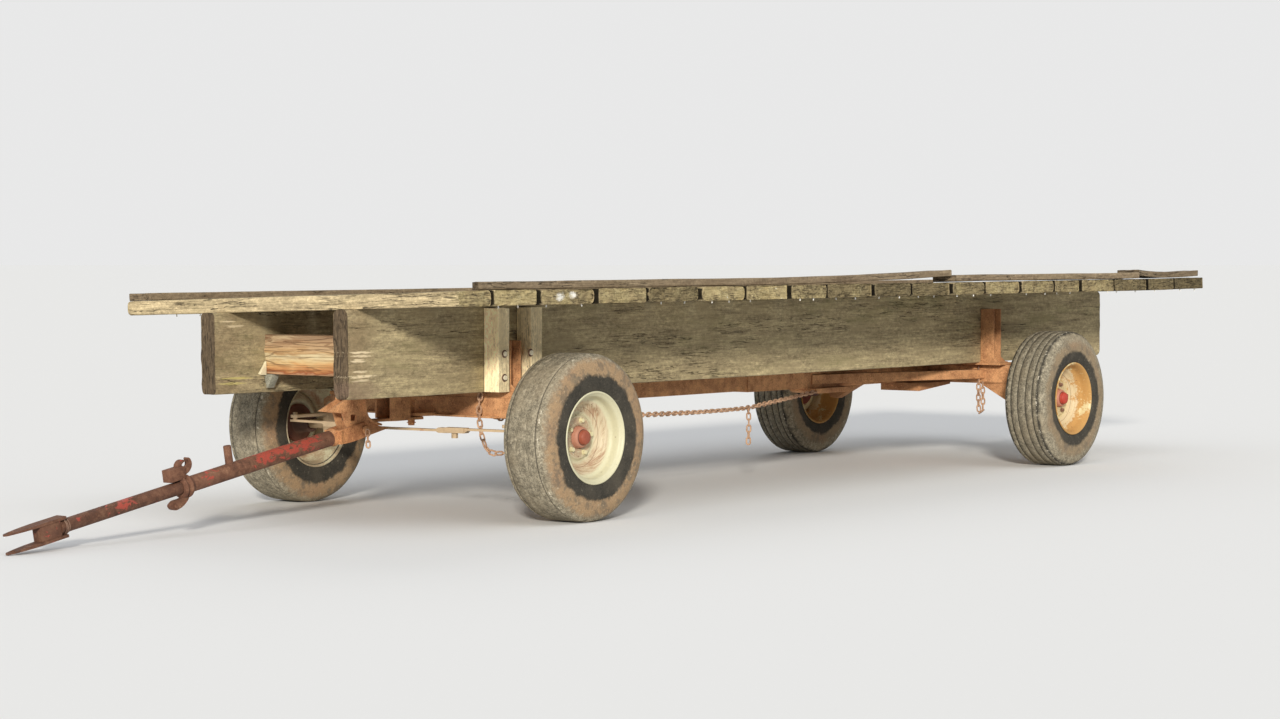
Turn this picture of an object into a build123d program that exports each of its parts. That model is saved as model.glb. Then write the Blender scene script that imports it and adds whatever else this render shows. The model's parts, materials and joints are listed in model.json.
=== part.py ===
from build123d import *
from math import asin, atan2, cos, degrees, hypot, pi, radians, sin, tan
import os

# Hay wagon: a farm running gear that carries a plank deck on two timber sills.
# Millimetres. X runs forward along the tongue, Y to the left, Z up from the ground.
# Below, X counts from the front axle. SHIFT then puts the origin on the ground
# under the middle of the whole wagon.

os.makedirs("parts", exist_ok=True)

# Wheels
TYRE_R = 377.5
TRACK = 1714
WHEELBASE = 4284
BEAD_R = 190.5
FLANGE_R = {"front": 209, "rear": 203}
TYRE_FLATS = 36
RIM_FLATS = 18
HUB_FLATS = 14
HOLE_FLATS = 10
PIN_GAP = 0.1
SPINDLE_R = 22
SPINDLE_END = TRACK / 2 + 47
# Wheel disc: distance of its two faces from the wheel's middle plane, radius of its hole
DISC_OUT, DISC_IN, DISC_BORE = 22, 16, 52
HUB_R = 46

# Front gear
BEAM_TOP = 540
BEAM_BOTTOM = 448
BEAM_HALF = 50
KING_Y = 600
KING_R = 16
STEER_X = 140
ROD_PIN = (286, 26)
ARM_END = (231, 656)
ARM_Z = 428
ROD_Z = 399

# Rear gear
REAR_X = -WHEELBASE
REAR_TOP = 556
REAR_BOTTOM = 449
REACH_LOW = 456

# Timber
SILL_OUT = 430
SILL_T = 88
SILL_BOTTOM = 570
SILL_H = {"left": 385, "right": 360}
SILL_FRONT = {"left": 1010, "right": 1050}
SILL_REAR = {"left": -5575, "right": -5560}
SILL_WEAR = {"left": 30, "right": 16}
PLANK_T = 68
BOARD_T = 36
DECK_FRONT = 962
DECK_REAR = -5765

# Tongue: it rests with the clevis's lower strap on the ground
HINGE_X = 505
HINGE_Z = 403
HINGE_R = 13
FORK = 132
TUBE_OUT = 35
TUBE_IN = 29
TUBE_END = 1045
INNER_START = 480
INNER_END = 1780
STRAP_T = 12
STRAP_DROP = 44
HITCH_AT = 2025
HITCH_R = 13.5
NOSE_R = 32

# The lower strap's nose touches the ground: TO_NOSE sin + STRAP_DROP cos = HINGE_Z
TO_NOSE = HITCH_AT + NOSE_R
REST = asin(HINGE_Z / hypot(TO_NOSE, STRAP_DROP)) - atan2(STRAP_DROP, TO_NOSE)
PITCH = degrees(REST)
TIP_X = HINGE_X + TO_NOSE * cos(REST) + STRAP_DROP * sin(REST)
SHIFT = -(TIP_X + DECK_REAR) / 2


def save(name, *solids):
    shape = solids[0] if len(solids) == 1 else Compound(children=list(solids))
    export_step(Location((SHIFT, 0, 0)) * shape, f"parts/{name}.step")


def block(x0, x1, y0, y1, z0, z1):
    middle = ((x0 + x1) / 2, (y0 + y1) / 2, (z0 + z1) / 2)
    return Location(middle) * Box(abs(x1 - x0), abs(y1 - y0), abs(z1 - z0))


def bar(r, long, flats):
    """Bar about Z: round with flats=0, otherwise with flats that its circle touches."""
    if not flats:
        return Cylinder(r, long)
    outline = RegularPolygon(r, flats, major_radius=False)
    return Location((0, 0, -long / 2)) * extrude(outline, long)


def rod_x(x0, x1, y, z, r, flats=0):
    return Location(((x0 + x1) / 2, y, z), (0, 90, 0)) * bar(r, abs(x1 - x0), flats)


def rod_y(x, y0, y1, z, r, flats=0):
    return Location((x, (y0 + y1) / 2, z), (90, 0, 0)) * bar(r, abs(y1 - y0), flats)


def rod_z(x, y, z0, z1, r, flats=0):
    return Location((x, y, (z0 + z1) / 2)) * bar(r, abs(z1 - z0), flats)


def plate_xy(points, z0, z1):
    """Plate cut to an outline of (x, y), lying between two heights."""
    return extrude(Plane.XY.offset(z0) * make_face(Polyline(points, close=True)), z1 - z0)


def plate_xz(points, y0, y1):
    """Plate cut to an outline of (x, z), standing between two distances to the left."""
    face = make_face(Polyline([(x, 0, z) for x, z in points], close=True))
    return Location((0, min(y0, y1), 0)) * extrude(face, abs(y1 - y0), dir=(0, 1, 0))


def plate_yz(points, x0, x1):
    """Plate cut to an outline of (y, z), standing across the wagon."""
    face = make_face(Polyline([(0, y, z) for y, z in points], close=True))
    return Location((min(x0, x1), 0, 0)) * extrude(face, abs(x1 - x0), dir=(1, 0, 0))


def turned(outline, flats):
    """Ring turned about the Y axis from a closed outline of (y, radius). Its corners lie
    on the true circle and it is flat between them."""
    half = pi / flats
    ring = []
    for k in range(flats):
        a, b = (2 * k - 1) * half, (2 * k + 1) * half
        for (y0, r0), (y1, r1) in zip(outline, outline[1:] + outline[:1]):
            if r0 == r1 == 0:
                continue
            corners = [
                (r0 * cos(a), y0, r0 * sin(a)), (r0 * cos(b), y0, r0 * sin(b)),
                (r1 * cos(b), y1, r1 * sin(b)), (r1 * cos(a), y1, r1 * sin(a))]
            if r0 == 0:
                corners = corners[1:]
            if r1 == 0:
                corners = corners[:-1]
            ring.append(Face(Wire.make_polygon([Vector(*p) for p in corners])))
    return Solid(Shell(ring))


# Wheels: name, axle, X of the axle, side
WHEELS = [
    ("front_left", "front", 0, 1),
    ("front_right", "front", 0, -1),
    ("rear_left", "rear", REAR_X, 1),
    ("rear_right", "rear", REAR_X, -1),
]
# Half of the tyre's section: distance from its middle plane, radius
TYRE_SECTION = [(98, BEAD_R), (130, 290), (122, 350), (98, TYRE_R)]


def make_tyre():
    """Tyre whose flats, not its corners, stand at TYRE_R, so that it rests on the ground."""
    grow = 1 / cos(pi / TYRE_FLATS)
    half = [(y, r * grow) for y, r in TYRE_SECTION]
    return turned(half + [(-y, r) for y, r in reversed(half)], TYRE_FLATS)


def make_rim(flange_r):
    """Drop-centre rim and dished disc as one shell, open at the hub."""
    well, wall, dish = BEAD_R - 32, 6, 110
    return turned([
        (118, flange_r), (101, BEAD_R - 1), (72, BEAD_R - 6), (58, well), (-10, well), (-24, BEAD_R - 6),
        (-101, BEAD_R - 1), (-118, flange_r), (-108, BEAD_R - 10), (-16, well - wall), (34, well - wall),
        (DISC_IN, dish), (DISC_IN, DISC_BORE), (DISC_OUT, DISC_BORE), (DISC_OUT, dish),
        (46, well - wall), (108, BEAD_R - 10)], RIM_FLATS)


def make_hub():
    """Cast hub: inner boss, flange behind the disc, barrel through it and domed grease cap."""
    bore, flange, back = SPINDLE_R + 2, 92, DISC_IN - 0.2
    return turned([
        (-86, bore), (-86, 40), (back - 16, HUB_R), (back - 16, flange), (back, flange), (back, HUB_R + 2),
        (41, HUB_R), (48, 33), (69, 28), (75, 0), (55, 0), (51, bore)], HUB_FLATS)


for name, axle, x, side in WHEELS:
    place = Location((x, side * TRACK / 2, TYRE_R), (0, 0, 0 if side > 0 else 180))
    save(f"tyre_{name}", place * make_tyre())
    save(f"rim_{name}", place * make_rim(FLANGE_R[axle]))
    save(f"hub_{name}", place * make_hub())

# Front axle: a channel with its open side to the rear, a wider lower flange, and
# lugs at the ends for the king pins and at the middle for the steering pin
WALL = 9
LUG = 16
beam = block(-BEAM_HALF, BEAM_HALF, -560, 560, BEAM_BOTTOM, BEAM_TOP)
beam -= block(-BEAM_HALF, BEAM_HALF - WALL, -540, 540, BEAM_BOTTOM + WALL, BEAM_TOP - WALL)
beam += block(BEAM_HALF, BEAM_HALF + 22, -450, 450, BEAM_BOTTOM, BEAM_BOTTOM + 9)
for z0 in (BEAM_BOTTOM, BEAM_TOP - LUG):
    for side in (1, -1):
        end = [(-40, 555), (-34, 620), (-16, 634), (16, 634), (34, 620), (40, 555)]
        beam += plate_xy([(x, side * y) for x, y in end], z0, z0 + LUG)
    beam += plate_xy([(45, -90), (45, 90), (150, 50), (185, 26), (185, -26), (150, -50)], z0, z0 + LUG)
for x, y in ((0, KING_Y), (0, -KING_Y), (STEER_X, 0)):
    beam -= rod_z(x, y, BEAM_BOTTOM - 5, BEAM_TOP + 5, KING_R + PIN_GAP, HOLE_FLATS)
save("front_axle", beam)

pins = [rod_z(x, y, BEAM_BOTTOM - 30, BEAM_TOP + 24, KING_R)
        for x, y in ((0, KING_Y), (0, -KING_Y), (STEER_X, 0))]
save("king_pins", *pins)

# Bolsters: a flat bar across each axle. Stakes stand on them against the sills' outer
# faces: channel posts, open outwards, with a pair of foot gussets
# Columns: axle, X of the axle, X of the stakes, half their width, their depth, left top,
# right top
STAKES = [("front", 0, -20, 38, 66, 800, 790), ("rear", REAR_X, REAR_X + 62, 40, 88, 874, 850)]
STAKE_WALL = 8
bolsters, stakes = [], []
for axle, x, at, half, deep, *tops in STAKES:
    base = {"front": BEAM_TOP, "rear": REAR_TOP}[axle]
    end = SILL_OUT + deep + 46
    bolsters.append(block(min(x, at) - 46, max(x, at) + 46, -end, end, base, SILL_BOTTOM))
    for side, top in zip((1, -1), tops):
        y0, y1 = side * SILL_OUT, side * (SILL_OUT + deep)
        post = block(at - half, at + half, y0, y1, SILL_BOTTOM, top)
        inner = half - STAKE_WALL
        post -= block(at - inner, at + inner, side * (SILL_OUT + STAKE_WALL), y1 + side, SILL_BOTTOM, top + 1)
        for gx in (at - half, at + inner):
            foot = [(y1, SILL_BOTTOM), (y1 + side * 38, SILL_BOTTOM), (y1, SILL_BOTTOM + 34)]
            post += plate_yz(foot, gx, gx + STAKE_WALL)
        stakes.append(post)
save("bolsters", *bolsters)
save("stakes", *stakes)

# Deck plane: the left sill is deeper than the right, so the deck leans to the right
top_left = SILL_BOTTOM + SILL_H["left"]
top_right = SILL_BOTTOM + SILL_H["right"]
LEAN = degrees(atan2(top_left - top_right, 2 * SILL_OUT - SILL_T))
DECK_MID = top_left - (SILL_OUT - SILL_T) * tan(radians(LEAN))


def under_deck(y):
    return DECK_MID + y * tan(radians(LEAN))


def on_deck(shape):
    return Location((0, 0, DECK_MID), (LEAN, 0, 0)) * shape


# Sills: front corners worn round, ends sawn a little off square
for side, name in ((1, "left"), (-1, "right")):
    front, rear, worn = SILL_FRONT[name], SILL_REAR[name], SILL_WEAR[name]
    low, high = SILL_BOTTOM, SILL_BOTTOM + SILL_H[name]
    sill = plate_xz([
        (rear, low), (front - worn, low), (front - 0.3 * worn, low + 0.3 * worn), (front, low + worn),
        (front + 7, high - worn), (front + 7 - 0.3 * worn, high - 0.3 * worn), (front + 7 - worn, high),
        (rear + 6, high)], side * (SILL_OUT - SILL_T), side * SILL_OUT)
    save(f"sill_{name}", sill)

# Cross timber between the sills, split along its grain, on a small angle at its far end
inside = SILL_OUT - SILL_T
cross = plate_xz([(596, 656), (742, 652), (747, 700), (744, 830), (600, 834), (592, 760)], -inside, inside)
save("cross_timber", cross)
angle = block(700, 744, -inside, -inside + 6, 590, 652) + block(700, 744, -inside, -inside + 48, 646, 652)
save("cross_timber_angle", angle)

# Deck planks from the front: width along X, left end, right end, amount the left end is
# sawn off square
PLANKS = [
    (205, 1030, -1010, 8), (280, 1012, -1018, -8), (360, 1022, -1008, 10), (342, 1040, -1020, -12),
    (367, 1018, -1030, 6), (336, 1035, -1012, -10), (324, 1008, -1022, 12), (295, 1045, -1010, -6),
    (381, 1016, -1024, 8), (334, 1028, -1043, -14), (348, 1010, -1016, 10), (312, 1036, -1012, -8),
    (336, 1018, -1020, 12), (340, 1030, -1014, -10), (258, 1012, -1026, 6), (362, 1042, -1010, -12),
    (365, 1014, -1018, 8), (305, 1034, -1022, -6), (345, 1026, -1012, 14)]
gap = (DECK_FRONT - DECK_REAR - sum(row[0] for row in PLANKS)) / (len(PLANKS) - 1)
planks = []
x = DECK_FRONT
for wide, left, right, skew in PLANKS:
    a, b = max(skew, 0), max(-skew, 0)
    outline = [(x - wide, right), (x, right), (x, left - a), (x - wide, left - b)]
    planks.append(on_deck(plate_xy(outline, 0, PLANK_T)))
    x -= wide + gap
save("deck_planks_front", *planks[:10])
save("deck_planks_rear", *planks[10:])

# Edge boards laid along the plank ends: side, rear X, front X, outer Y, lift of the front
# end, lift of the rear end
BOARDS = [
    ("left", -2960, 905, 1000, 0, 26), ("left", -4990, -2975, 1012, 0, 0), ("left", -5745, -5005, 1000, 16, 6),
    ("right", -3000, 955, 1004, 0, 0), ("right", -5740, -3015, 1000, 0, 0)]
for side, name in ((1, "left"), (-1, "right")):
    row = []
    for which, x0, x1, y, up1, up0 in BOARDS:
        if which == name:
            low = [(x0, PLANK_T + up0), ((x0 + x1) / 2, PLANK_T), (x1, PLANK_T + up1)]
            line = low + [(a, b + BOARD_T) for a, b in reversed(low)]
            row.append(on_deck(plate_xz(line, side * (y - 145), side * y)))
    save(f"edge_boards_{name}", *row)

# Timber blocks bolted to the sills on both sides of the front stakes: rear X, front X
for side, name in ((1, "left"), (-1, "right")):
    outer = side * (SILL_OUT + 90)
    top = under_deck(min(side * SILL_OUT, outer)) - 6
    row = [block(x0, x1, side * SILL_OUT, outer, SILL_BOTTOM, top) for x0, x1 in ((-182, -100), (48, 128))]
    save(f"stake_blocks_{name}", *row)

# Rear axle: square tube with rounded edges, drop brackets and spindles
tube = block(REAR_X - 50, REAR_X + 50, -600, 600, REAR_BOTTOM, REAR_TOP)
tube = chamfer(tube.edges().filter_by(Axis.Y), 10)
tube -= block(REAR_X - 42, REAR_X + 42, -601, 601, REAR_BOTTOM + 8, REAR_TOP - 8)
for side in (1, -1):
    drop = [(595, REAR_TOP), (640, REAR_TOP), (648, 340), (606, 330), (385, REAR_BOTTOM), (595, REAR_BOTTOM)]
    tube += plate_yz([(side * y, z) for y, z in drop], REAR_X - 34, REAR_X + 34)
    tube += rod_y(REAR_X, side * 640, side * SPINDLE_END, TYRE_R, SPINDLE_R)
save("rear_axle", tube)

# Telescoping reach: a square tube that slides in a sleeve and is bolted there. Its top is
# cut away where it enters the channel of the front axle
SLEEVE_HALF, REACH_WALL = 48, 7
TUBE_HALF = SLEEVE_HALF - REACH_WALL
reach_mid = REACH_LOW + SLEEVE_HALF


def square_tube(x0, x1, half):
    inner = half - REACH_WALL
    tube = block(x0, x1, -half, half, reach_mid - half, reach_mid + half)
    return tube - block(x0 - 1, x1 + 1, -inner, inner, reach_mid - inner, reach_mid + inner)


cope = block(-BEAM_HALF - 20, BEAM_HALF, -TUBE_HALF - 1, TUBE_HALF + 1, BEAM_TOP - WALL - 1, SILL_BOTTOM)
save("reach_tube", square_tube(-2800, BEAM_HALF - WALL, TUBE_HALF) - cope)
save("reach_sleeve", square_tube(REAR_X + 50, -2450, SLEEVE_HALF))

# Hounds brace the rear axle to the sleeve. Under them lie the clamp that holds the
# chain's end and the foot under the axle's middle
hounds = []
for side in (1, -1):
    line = [(REAR_X + 50, 430), (REAR_X + 50, 370), (-3330, SLEEVE_HALF), (-3040, SLEEVE_HALF),
            (-3040, 60), (-3330, 104)]
    hounds.append(plate_xy([(x, side * y) for x, y in line], 476, 528))
save("hounds", *hounds)
clamp = plate_xz([(-3348, 438), (-3320, 428), (-3040, 428), (-3010, 440), (-3010, REACH_LOW),
                  (-3348, REACH_LOW)], -75, 105)
foot = plate_xz([(REAR_X + 52, 440), (-3900, 410), (-3900, REACH_LOW), (REAR_X + 52, REACH_LOW)], -60, 200)
save("reach_clamps", clamp, foot)

# Steering bracket: a top and a bottom plate on the steering pin, joined by two cheeks
# that run forward to the tongue's hinge
TOP_Z, BOTTOM_Z, PLATE = BEAM_TOP + 3, BEAM_BOTTOM - 15, 12
CHEEK_IN, CHEEK_OUT, FLANGE_OUT = 21, 33, 58
tail = [(112, -50), (94, -28), (94, 28), (112, 50)]
bracket = plate_xy(tail + [(330, 50), (520, CHEEK_OUT), (610, CHEEK_OUT), (610, -CHEEK_OUT), (520, -CHEEK_OUT),
                           (330, -50)], TOP_Z, TOP_Z + PLATE)
bracket += plate_xy(tail + [(300, 50), (345, 30), (475, 30), (475, -30), (345, -30), (300, -50)],
                    BOTTOM_Z, BOTTOM_Z + PLATE)
# Curved rear edge that the cheeks share, from the tail's tip up to the top plate
CURVE = [(330, 402), (400, 418), (462, 436), (492, 456), (504, 482), (507, TOP_Z)]
CHEEK = CURVE + [(612, TOP_Z), (723, 494), (628, 482), (610, 436), (585, 396), (552, 368), (505, 364), (470, 373)]
for side in (1, -1):
    cheek = plate_xz(CHEEK, side * CHEEK_IN, side * CHEEK_OUT)
    cheek -= block(540, 578, side * 10, side * 40, 446, 474)
    bracket += cheek
    bracket += block(200, 330, side * 40, side * 50, BOTTOM_Z + PLATE, TOP_Z)
flange = CURVE[1:] + [(499, TOP_Z), (496, 484), (485, 462), (458, 444), (398, 426)]
bracket += plate_xz(flange, -FLANGE_OUT, FLANGE_OUT)
bracket -= rod_z(STEER_X, 0, 400, 600, KING_R + PIN_GAP, HOLE_FLATS)
bracket -= rod_y(HINGE_X, -40, 40, HINGE_Z, HINGE_R + PIN_GAP, HOLE_FLATS)
save("steering_bracket", bracket)

# Steering knuckles: barrel on the king pin, drop to the spindle, arm to the tie rod.
# A tie rod is a flat bar in two lengths, clamped together, with its pin at the arm
ARM_HALF, PIN_R = 7, 11
for side, name in ((1, "left"), (-1, "right")):
    ax, ay = ARM_END
    knuckle = rod_z(0, side * KING_Y, BEAM_BOTTOM + LUG + 1, BEAM_TOP - LUG - 1, 30, HOLE_FLATS)
    knuckle += plate_yz([(side * y, z) for y, z in (
        (600, 516), (640, 516), (668, 500), (672, 342), (638, 332), (638, 470), (600, 474))], -26, 26)
    knuckle += rod_y(0, side * 640, side * SPINDLE_END, TYRE_R, SPINDLE_R)
    knuckle += plate_xy([(x, side * y) for x, y in (
        (-26, 638), (-26, 672), (26, 672), (ax - 30, ay + 22), (ax + 8, ay + 22), (ax + 22, ay + 8),
        (ax + 22, ay - 8), (ax + 8, ay - 22), (ax - 30, ay - 20), (26, 638))], ARM_Z - ARM_HALF, ARM_Z + ARM_HALF)
    knuckle -= rod_z(0, side * KING_Y, BEAM_BOTTOM, BEAM_TOP, KING_R + PIN_GAP, HOLE_FLATS)
    knuckle -= rod_z(ax, side * ay, ARM_Z - 20, ARM_Z + 20, PIN_R + PIN_GAP, HOLE_FLATS)
    save(f"knuckle_{name}", knuckle)

    px, py = ROD_PIN
    run, skew = hypot(ax - px, ay - py), degrees(atan2(px - ax, ay - py))
    low, high = ROD_Z - 5, ROD_Z + 5
    rod = plate_yz([
        (-22, high), (246, high), (262, high + 8), (run + 20, high + 8), (run + 20, high - 2), (424, high - 2),
        (410, low - 2), (300, low - 6), (262, low - 6), (250, low), (-22, low)], -15, 15)
    rod += block(-21, 21, 300, 408, low - 4, high + 10)
    rod += rod_z(0, 344, low - 28, low, 13, 6)
    rod += rod_z(0, run, high, ARM_Z + 18, PIN_R)
    at = Location((px, side * py, 0), (0, 0, skew if side > 0 else 180 - skew))
    save(f"tie_rod_{name}", at * rod)

# Tongue: fork, outer tube with its stub post, latch, sliding inner tube and clevis. It is
# drawn along X from the hinge and then pitched down
tongue_at = Location((HINGE_X, 0, HINGE_Z), (0, PITCH, 0))
EAR_IN, EAR_OUT = 36, 48
BORE_IN = TUBE_IN + 0.6
outer = rod_x(FORK + 16, TUBE_END, 0, 0, TUBE_OUT)
outer += block(FORK, FORK + 24, -EAR_OUT, EAR_OUT, -32, 32)
outer += rod_z(800, 0, 20, 112, 18, HOLE_FLATS)
outer -= rod_x(FORK + 30, TUBE_END + 1, 0, 0, BORE_IN)
EAR = [(-32, -12), (-24, -26), (0, -34), (70, -36), (FORK + 20, -32), (FORK + 20, 32), (70, 34), (0, 34),
       (-24, 26), (-32, 12)]
for side in (1, -1):
    outer += plate_xz(EAR, side * EAR_IN, side * EAR_OUT)
outer -= rod_y(0, -60, 60, 0, HINGE_R + PIN_GAP, HOLE_FLATS)
save("tongue_outer", tongue_at * outer)
save("tongue_pin", tongue_at * rod_y(0, -62, 62, 0, HINGE_R))

# Latch: flared collar on the outer tube's end, box above it with two curved horns, and a
# lug below it
latch = rod_x(TUBE_END, TUBE_END + 36, 0, 0, 46, HUB_FLATS)
latch -= rod_x(TUBE_END - 1, TUBE_END + 40, 0, 0, BORE_IN, HUB_FLATS)
latch += block(TUBE_END + 8, TUBE_END + 120, -24, 24, 36, 60)
latch += plate_xz([(TUBE_END + 20, -40), (TUBE_END + 110, -40), (TUBE_END + 132, -62), (TUBE_END + 96, -84),
                   (TUBE_END + 30, -62)], -12, 12)
HORN = [(30, 58), (58, 58), (50, 84), (30, 104), (12, 100), (30, 80)]
for side in (1, -1):
    latch += plate_xz([(TUBE_END + x, z) for x, z in HORN], side * 13, side * 24)
save("tongue_latch", tongue_at * latch)

save("tongue_inner", tongue_at * rod_x(INNER_START, INNER_END, 0, 0, TUBE_IN))
# Clevis: a spacer block with a strap above and one below, which narrow towards the pin
clevis = block(INNER_END, INNER_END + 110, -27, 27, -33, 33)
for sign in (1, -1):
    z = STRAP_DROP * sign
    inner = z - STRAP_T * sign
    nose = [(INNER_END - 30, -30), (HITCH_AT - 90, -30), (HITCH_AT + NOSE_R, -15), (HITCH_AT + NOSE_R, 15),
            (HITCH_AT - 90, 30), (INNER_END - 30, 30)]
    clevis += plate_xy(nose, min(z, inner), max(z, inner))
clevis -= Location((HITCH_AT, 0, 0)) * Cylinder(HITCH_R, 2 * STRAP_DROP + 2)
save("tongue_clevis", tongue_at * clevis)

# Chains: flat oval links, every second one turned a quarter. A run lists the points that
# it hangs through
LINK_STEP, LINK_L, LINK_W, WIRE = 50, 68, 34, 9
CHAINS = {
    "chain_front": [[(84, 372, 548), (86, 366, 470), (94, 384, 390), (100, 425, 318), (86, 470, 292), (40, 500, 296),
                     (-20, 500, 350), (-66, 480, 440)]],
    "chain_reach": [[(-66, 340, 440), (-600, 325, 419), (-1200, 300, 402), (-1700, 255, 391), (-2215, 195, 385),
                     (-2600, 146, 409), (-2998, 98, 438)], [(-2215, 195, 360), (-2218, 196, 165)]],
    "chain_rear": [[(REAR_X + 74, 402, 462), (REAR_X + 74, 402, 296), (REAR_X + 74, 424, 272),
                    (REAR_X + 74, 448, 296), (REAR_X + 74, 448, 440)]],
}
EYE_L, EYE_W = LINK_L / 2 - WIRE, LINK_W / 2 - WIRE


def link(a, b, turn):
    along = b - a
    flat = Vector(0, 1, 0.01).cross(along).rotate(Axis((0, 0, 0), along), turn)
    length, width = LINK_L / 2, LINK_W / 2
    oval = [(-length, 0), (-length / 2, width), (length / 2, width), (length, 0), (length / 2, -width),
            (-length / 2, -width)]
    ring = make_face(Polyline(oval, close=True)) - Rectangle(2 * EYE_L * 0.8, 2 * EYE_W)
    return extrude(Plane((a + b) / 2, x_dir=along, z_dir=flat) * ring, WIRE / 2, both=True)


for name, runs in CHAINS.items():
    links = []
    for points in runs:
        run = Polyline(points) if len(points) > 2 else Line(*points)
        count = round(run.length / LINK_STEP)
        joints = [run @ (k / count) for k in range(count + 1)]
        links += [link(a, b, 45 if k % 2 else -45) for k, (a, b) in enumerate(zip(joints, joints[1:]))]
    save(name, *links)
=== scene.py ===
import json
import random
from math import atan2, cos, pi, radians, sin

import bmesh
import bpy
from mathutils import Matrix, Vector, noise


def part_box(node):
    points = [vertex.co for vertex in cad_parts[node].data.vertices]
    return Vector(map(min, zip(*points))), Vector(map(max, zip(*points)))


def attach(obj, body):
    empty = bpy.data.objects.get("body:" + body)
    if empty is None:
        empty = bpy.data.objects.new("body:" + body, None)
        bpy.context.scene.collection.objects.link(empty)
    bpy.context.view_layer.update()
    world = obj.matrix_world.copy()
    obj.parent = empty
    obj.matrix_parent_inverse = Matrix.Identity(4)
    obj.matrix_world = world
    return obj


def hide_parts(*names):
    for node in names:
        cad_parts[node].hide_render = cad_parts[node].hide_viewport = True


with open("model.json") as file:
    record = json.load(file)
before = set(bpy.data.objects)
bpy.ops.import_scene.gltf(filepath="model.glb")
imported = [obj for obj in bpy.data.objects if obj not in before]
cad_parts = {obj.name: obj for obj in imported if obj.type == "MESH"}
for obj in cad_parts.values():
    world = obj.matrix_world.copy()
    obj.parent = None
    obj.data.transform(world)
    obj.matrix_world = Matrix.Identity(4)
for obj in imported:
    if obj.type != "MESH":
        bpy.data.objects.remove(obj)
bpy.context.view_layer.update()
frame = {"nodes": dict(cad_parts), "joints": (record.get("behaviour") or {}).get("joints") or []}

# Places read from the frame, in metres
JOINT = {j["name"]: j for j in frame["joints"]}
FRONT_AXLE = Vector(JOINT["wheel_front_left"]["pos_m"])
REAR_AXLE = Vector(JOINT["wheel_rear_left"]["pos_m"])
HINGE = Vector(JOINT["tongue_lift"]["pos_m"])
AX = FRONT_AXLE.x
TYRE_R = FRONT_AXLE.z
LEFT = Vector((0, 1, 0))
TONGUE_DIR = -Vector(JOINT["tongue_extend"]["axis"])
TONGUE_UP = TONGUE_DIR.cross(LEFT)

# Camera, fitted to the photograph: its place counts from the front axle's middle
EYE = Vector((AX + 10.08, 9.05, 1.225))
YAW, PITCH = 217.82, -2.21
LENS_PX, FRAME_W = 2912.3, 1280
SENSOR = 36.0


# Numbers inside a node tree

class Term:
    """A number in a node tree. Arithmetic on it adds Math nodes."""

    def __init__(self, graph, socket):
        self.graph, self.socket = graph, socket

    def _math(self, operation, *values):
        node = self.graph.node("ShaderNodeMath", {"operation": operation}, dict(enumerate(values)))
        return Term(self.graph, node.outputs[0])

    def __add__(self, other):
        return self._math("ADD", self, other)

    def __radd__(self, other):
        return self._math("ADD", other, self)

    def __sub__(self, other):
        return self._math("SUBTRACT", self, other)

    def __rsub__(self, other):
        return self._math("SUBTRACT", other, self)

    def __mul__(self, other):
        return self._math("MULTIPLY", self, other)

    def __rmul__(self, other):
        return self._math("MULTIPLY", other, self)

    def __truediv__(self, other):
        return self._math("DIVIDE", self, other)

    def __mod__(self, other):
        return self._math("MODULO", self, other)

    def __abs__(self):
        return self._math("ABSOLUTE", self)

    def most(self, other):
        return self._math("MAXIMUM", self, other)

    def least(self, other):
        return self._math("MINIMUM", self, other)

    def step(self, low, high):
        """0 below low, 1 above high, smooth between. Works with low above high too."""
        node = self.graph.node("ShaderNodeMapRange", {"interpolation_type": "SMOOTHSTEP"}, {
            "Value": self, "From Min": low, "From Max": high, "To Min": 0.0, "To Max": 1.0})
        return Term(self.graph, node.outputs[0])


class Graph:
    """One node tree, whose nodes come from node()."""

    def __init__(self, tree):
        self.tree = tree

    def node(self, kind, settings=None, sockets=None):
        made = self.tree.nodes.new(kind)
        for key, value in (settings or {}).items():
            setattr(made, key, value)
        for key, value in (sockets or {}).items():
            self.put(made.inputs[key], value)
        return made

    def put(self, socket, value):
        if isinstance(value, Term):
            value = value.socket
        if isinstance(value, bpy.types.NodeSocket):
            self.tree.links.new(value, socket)
        elif isinstance(value, tuple) and len(value) == 3 and socket.type == "RGBA":
            socket.default_value = (*value, 1.0)
        else:
            socket.default_value = value

    def scaled(self, vector, by):
        node = self.node("ShaderNodeVectorMath", {"operation": "MULTIPLY"}, {0: vector, 1: by})
        return node.outputs[0]

    def moved(self, vector, by):
        node = self.node("ShaderNodeVectorMath", {"operation": "ADD"}, {0: vector, 1: by})
        return node.outputs[0]


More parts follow.
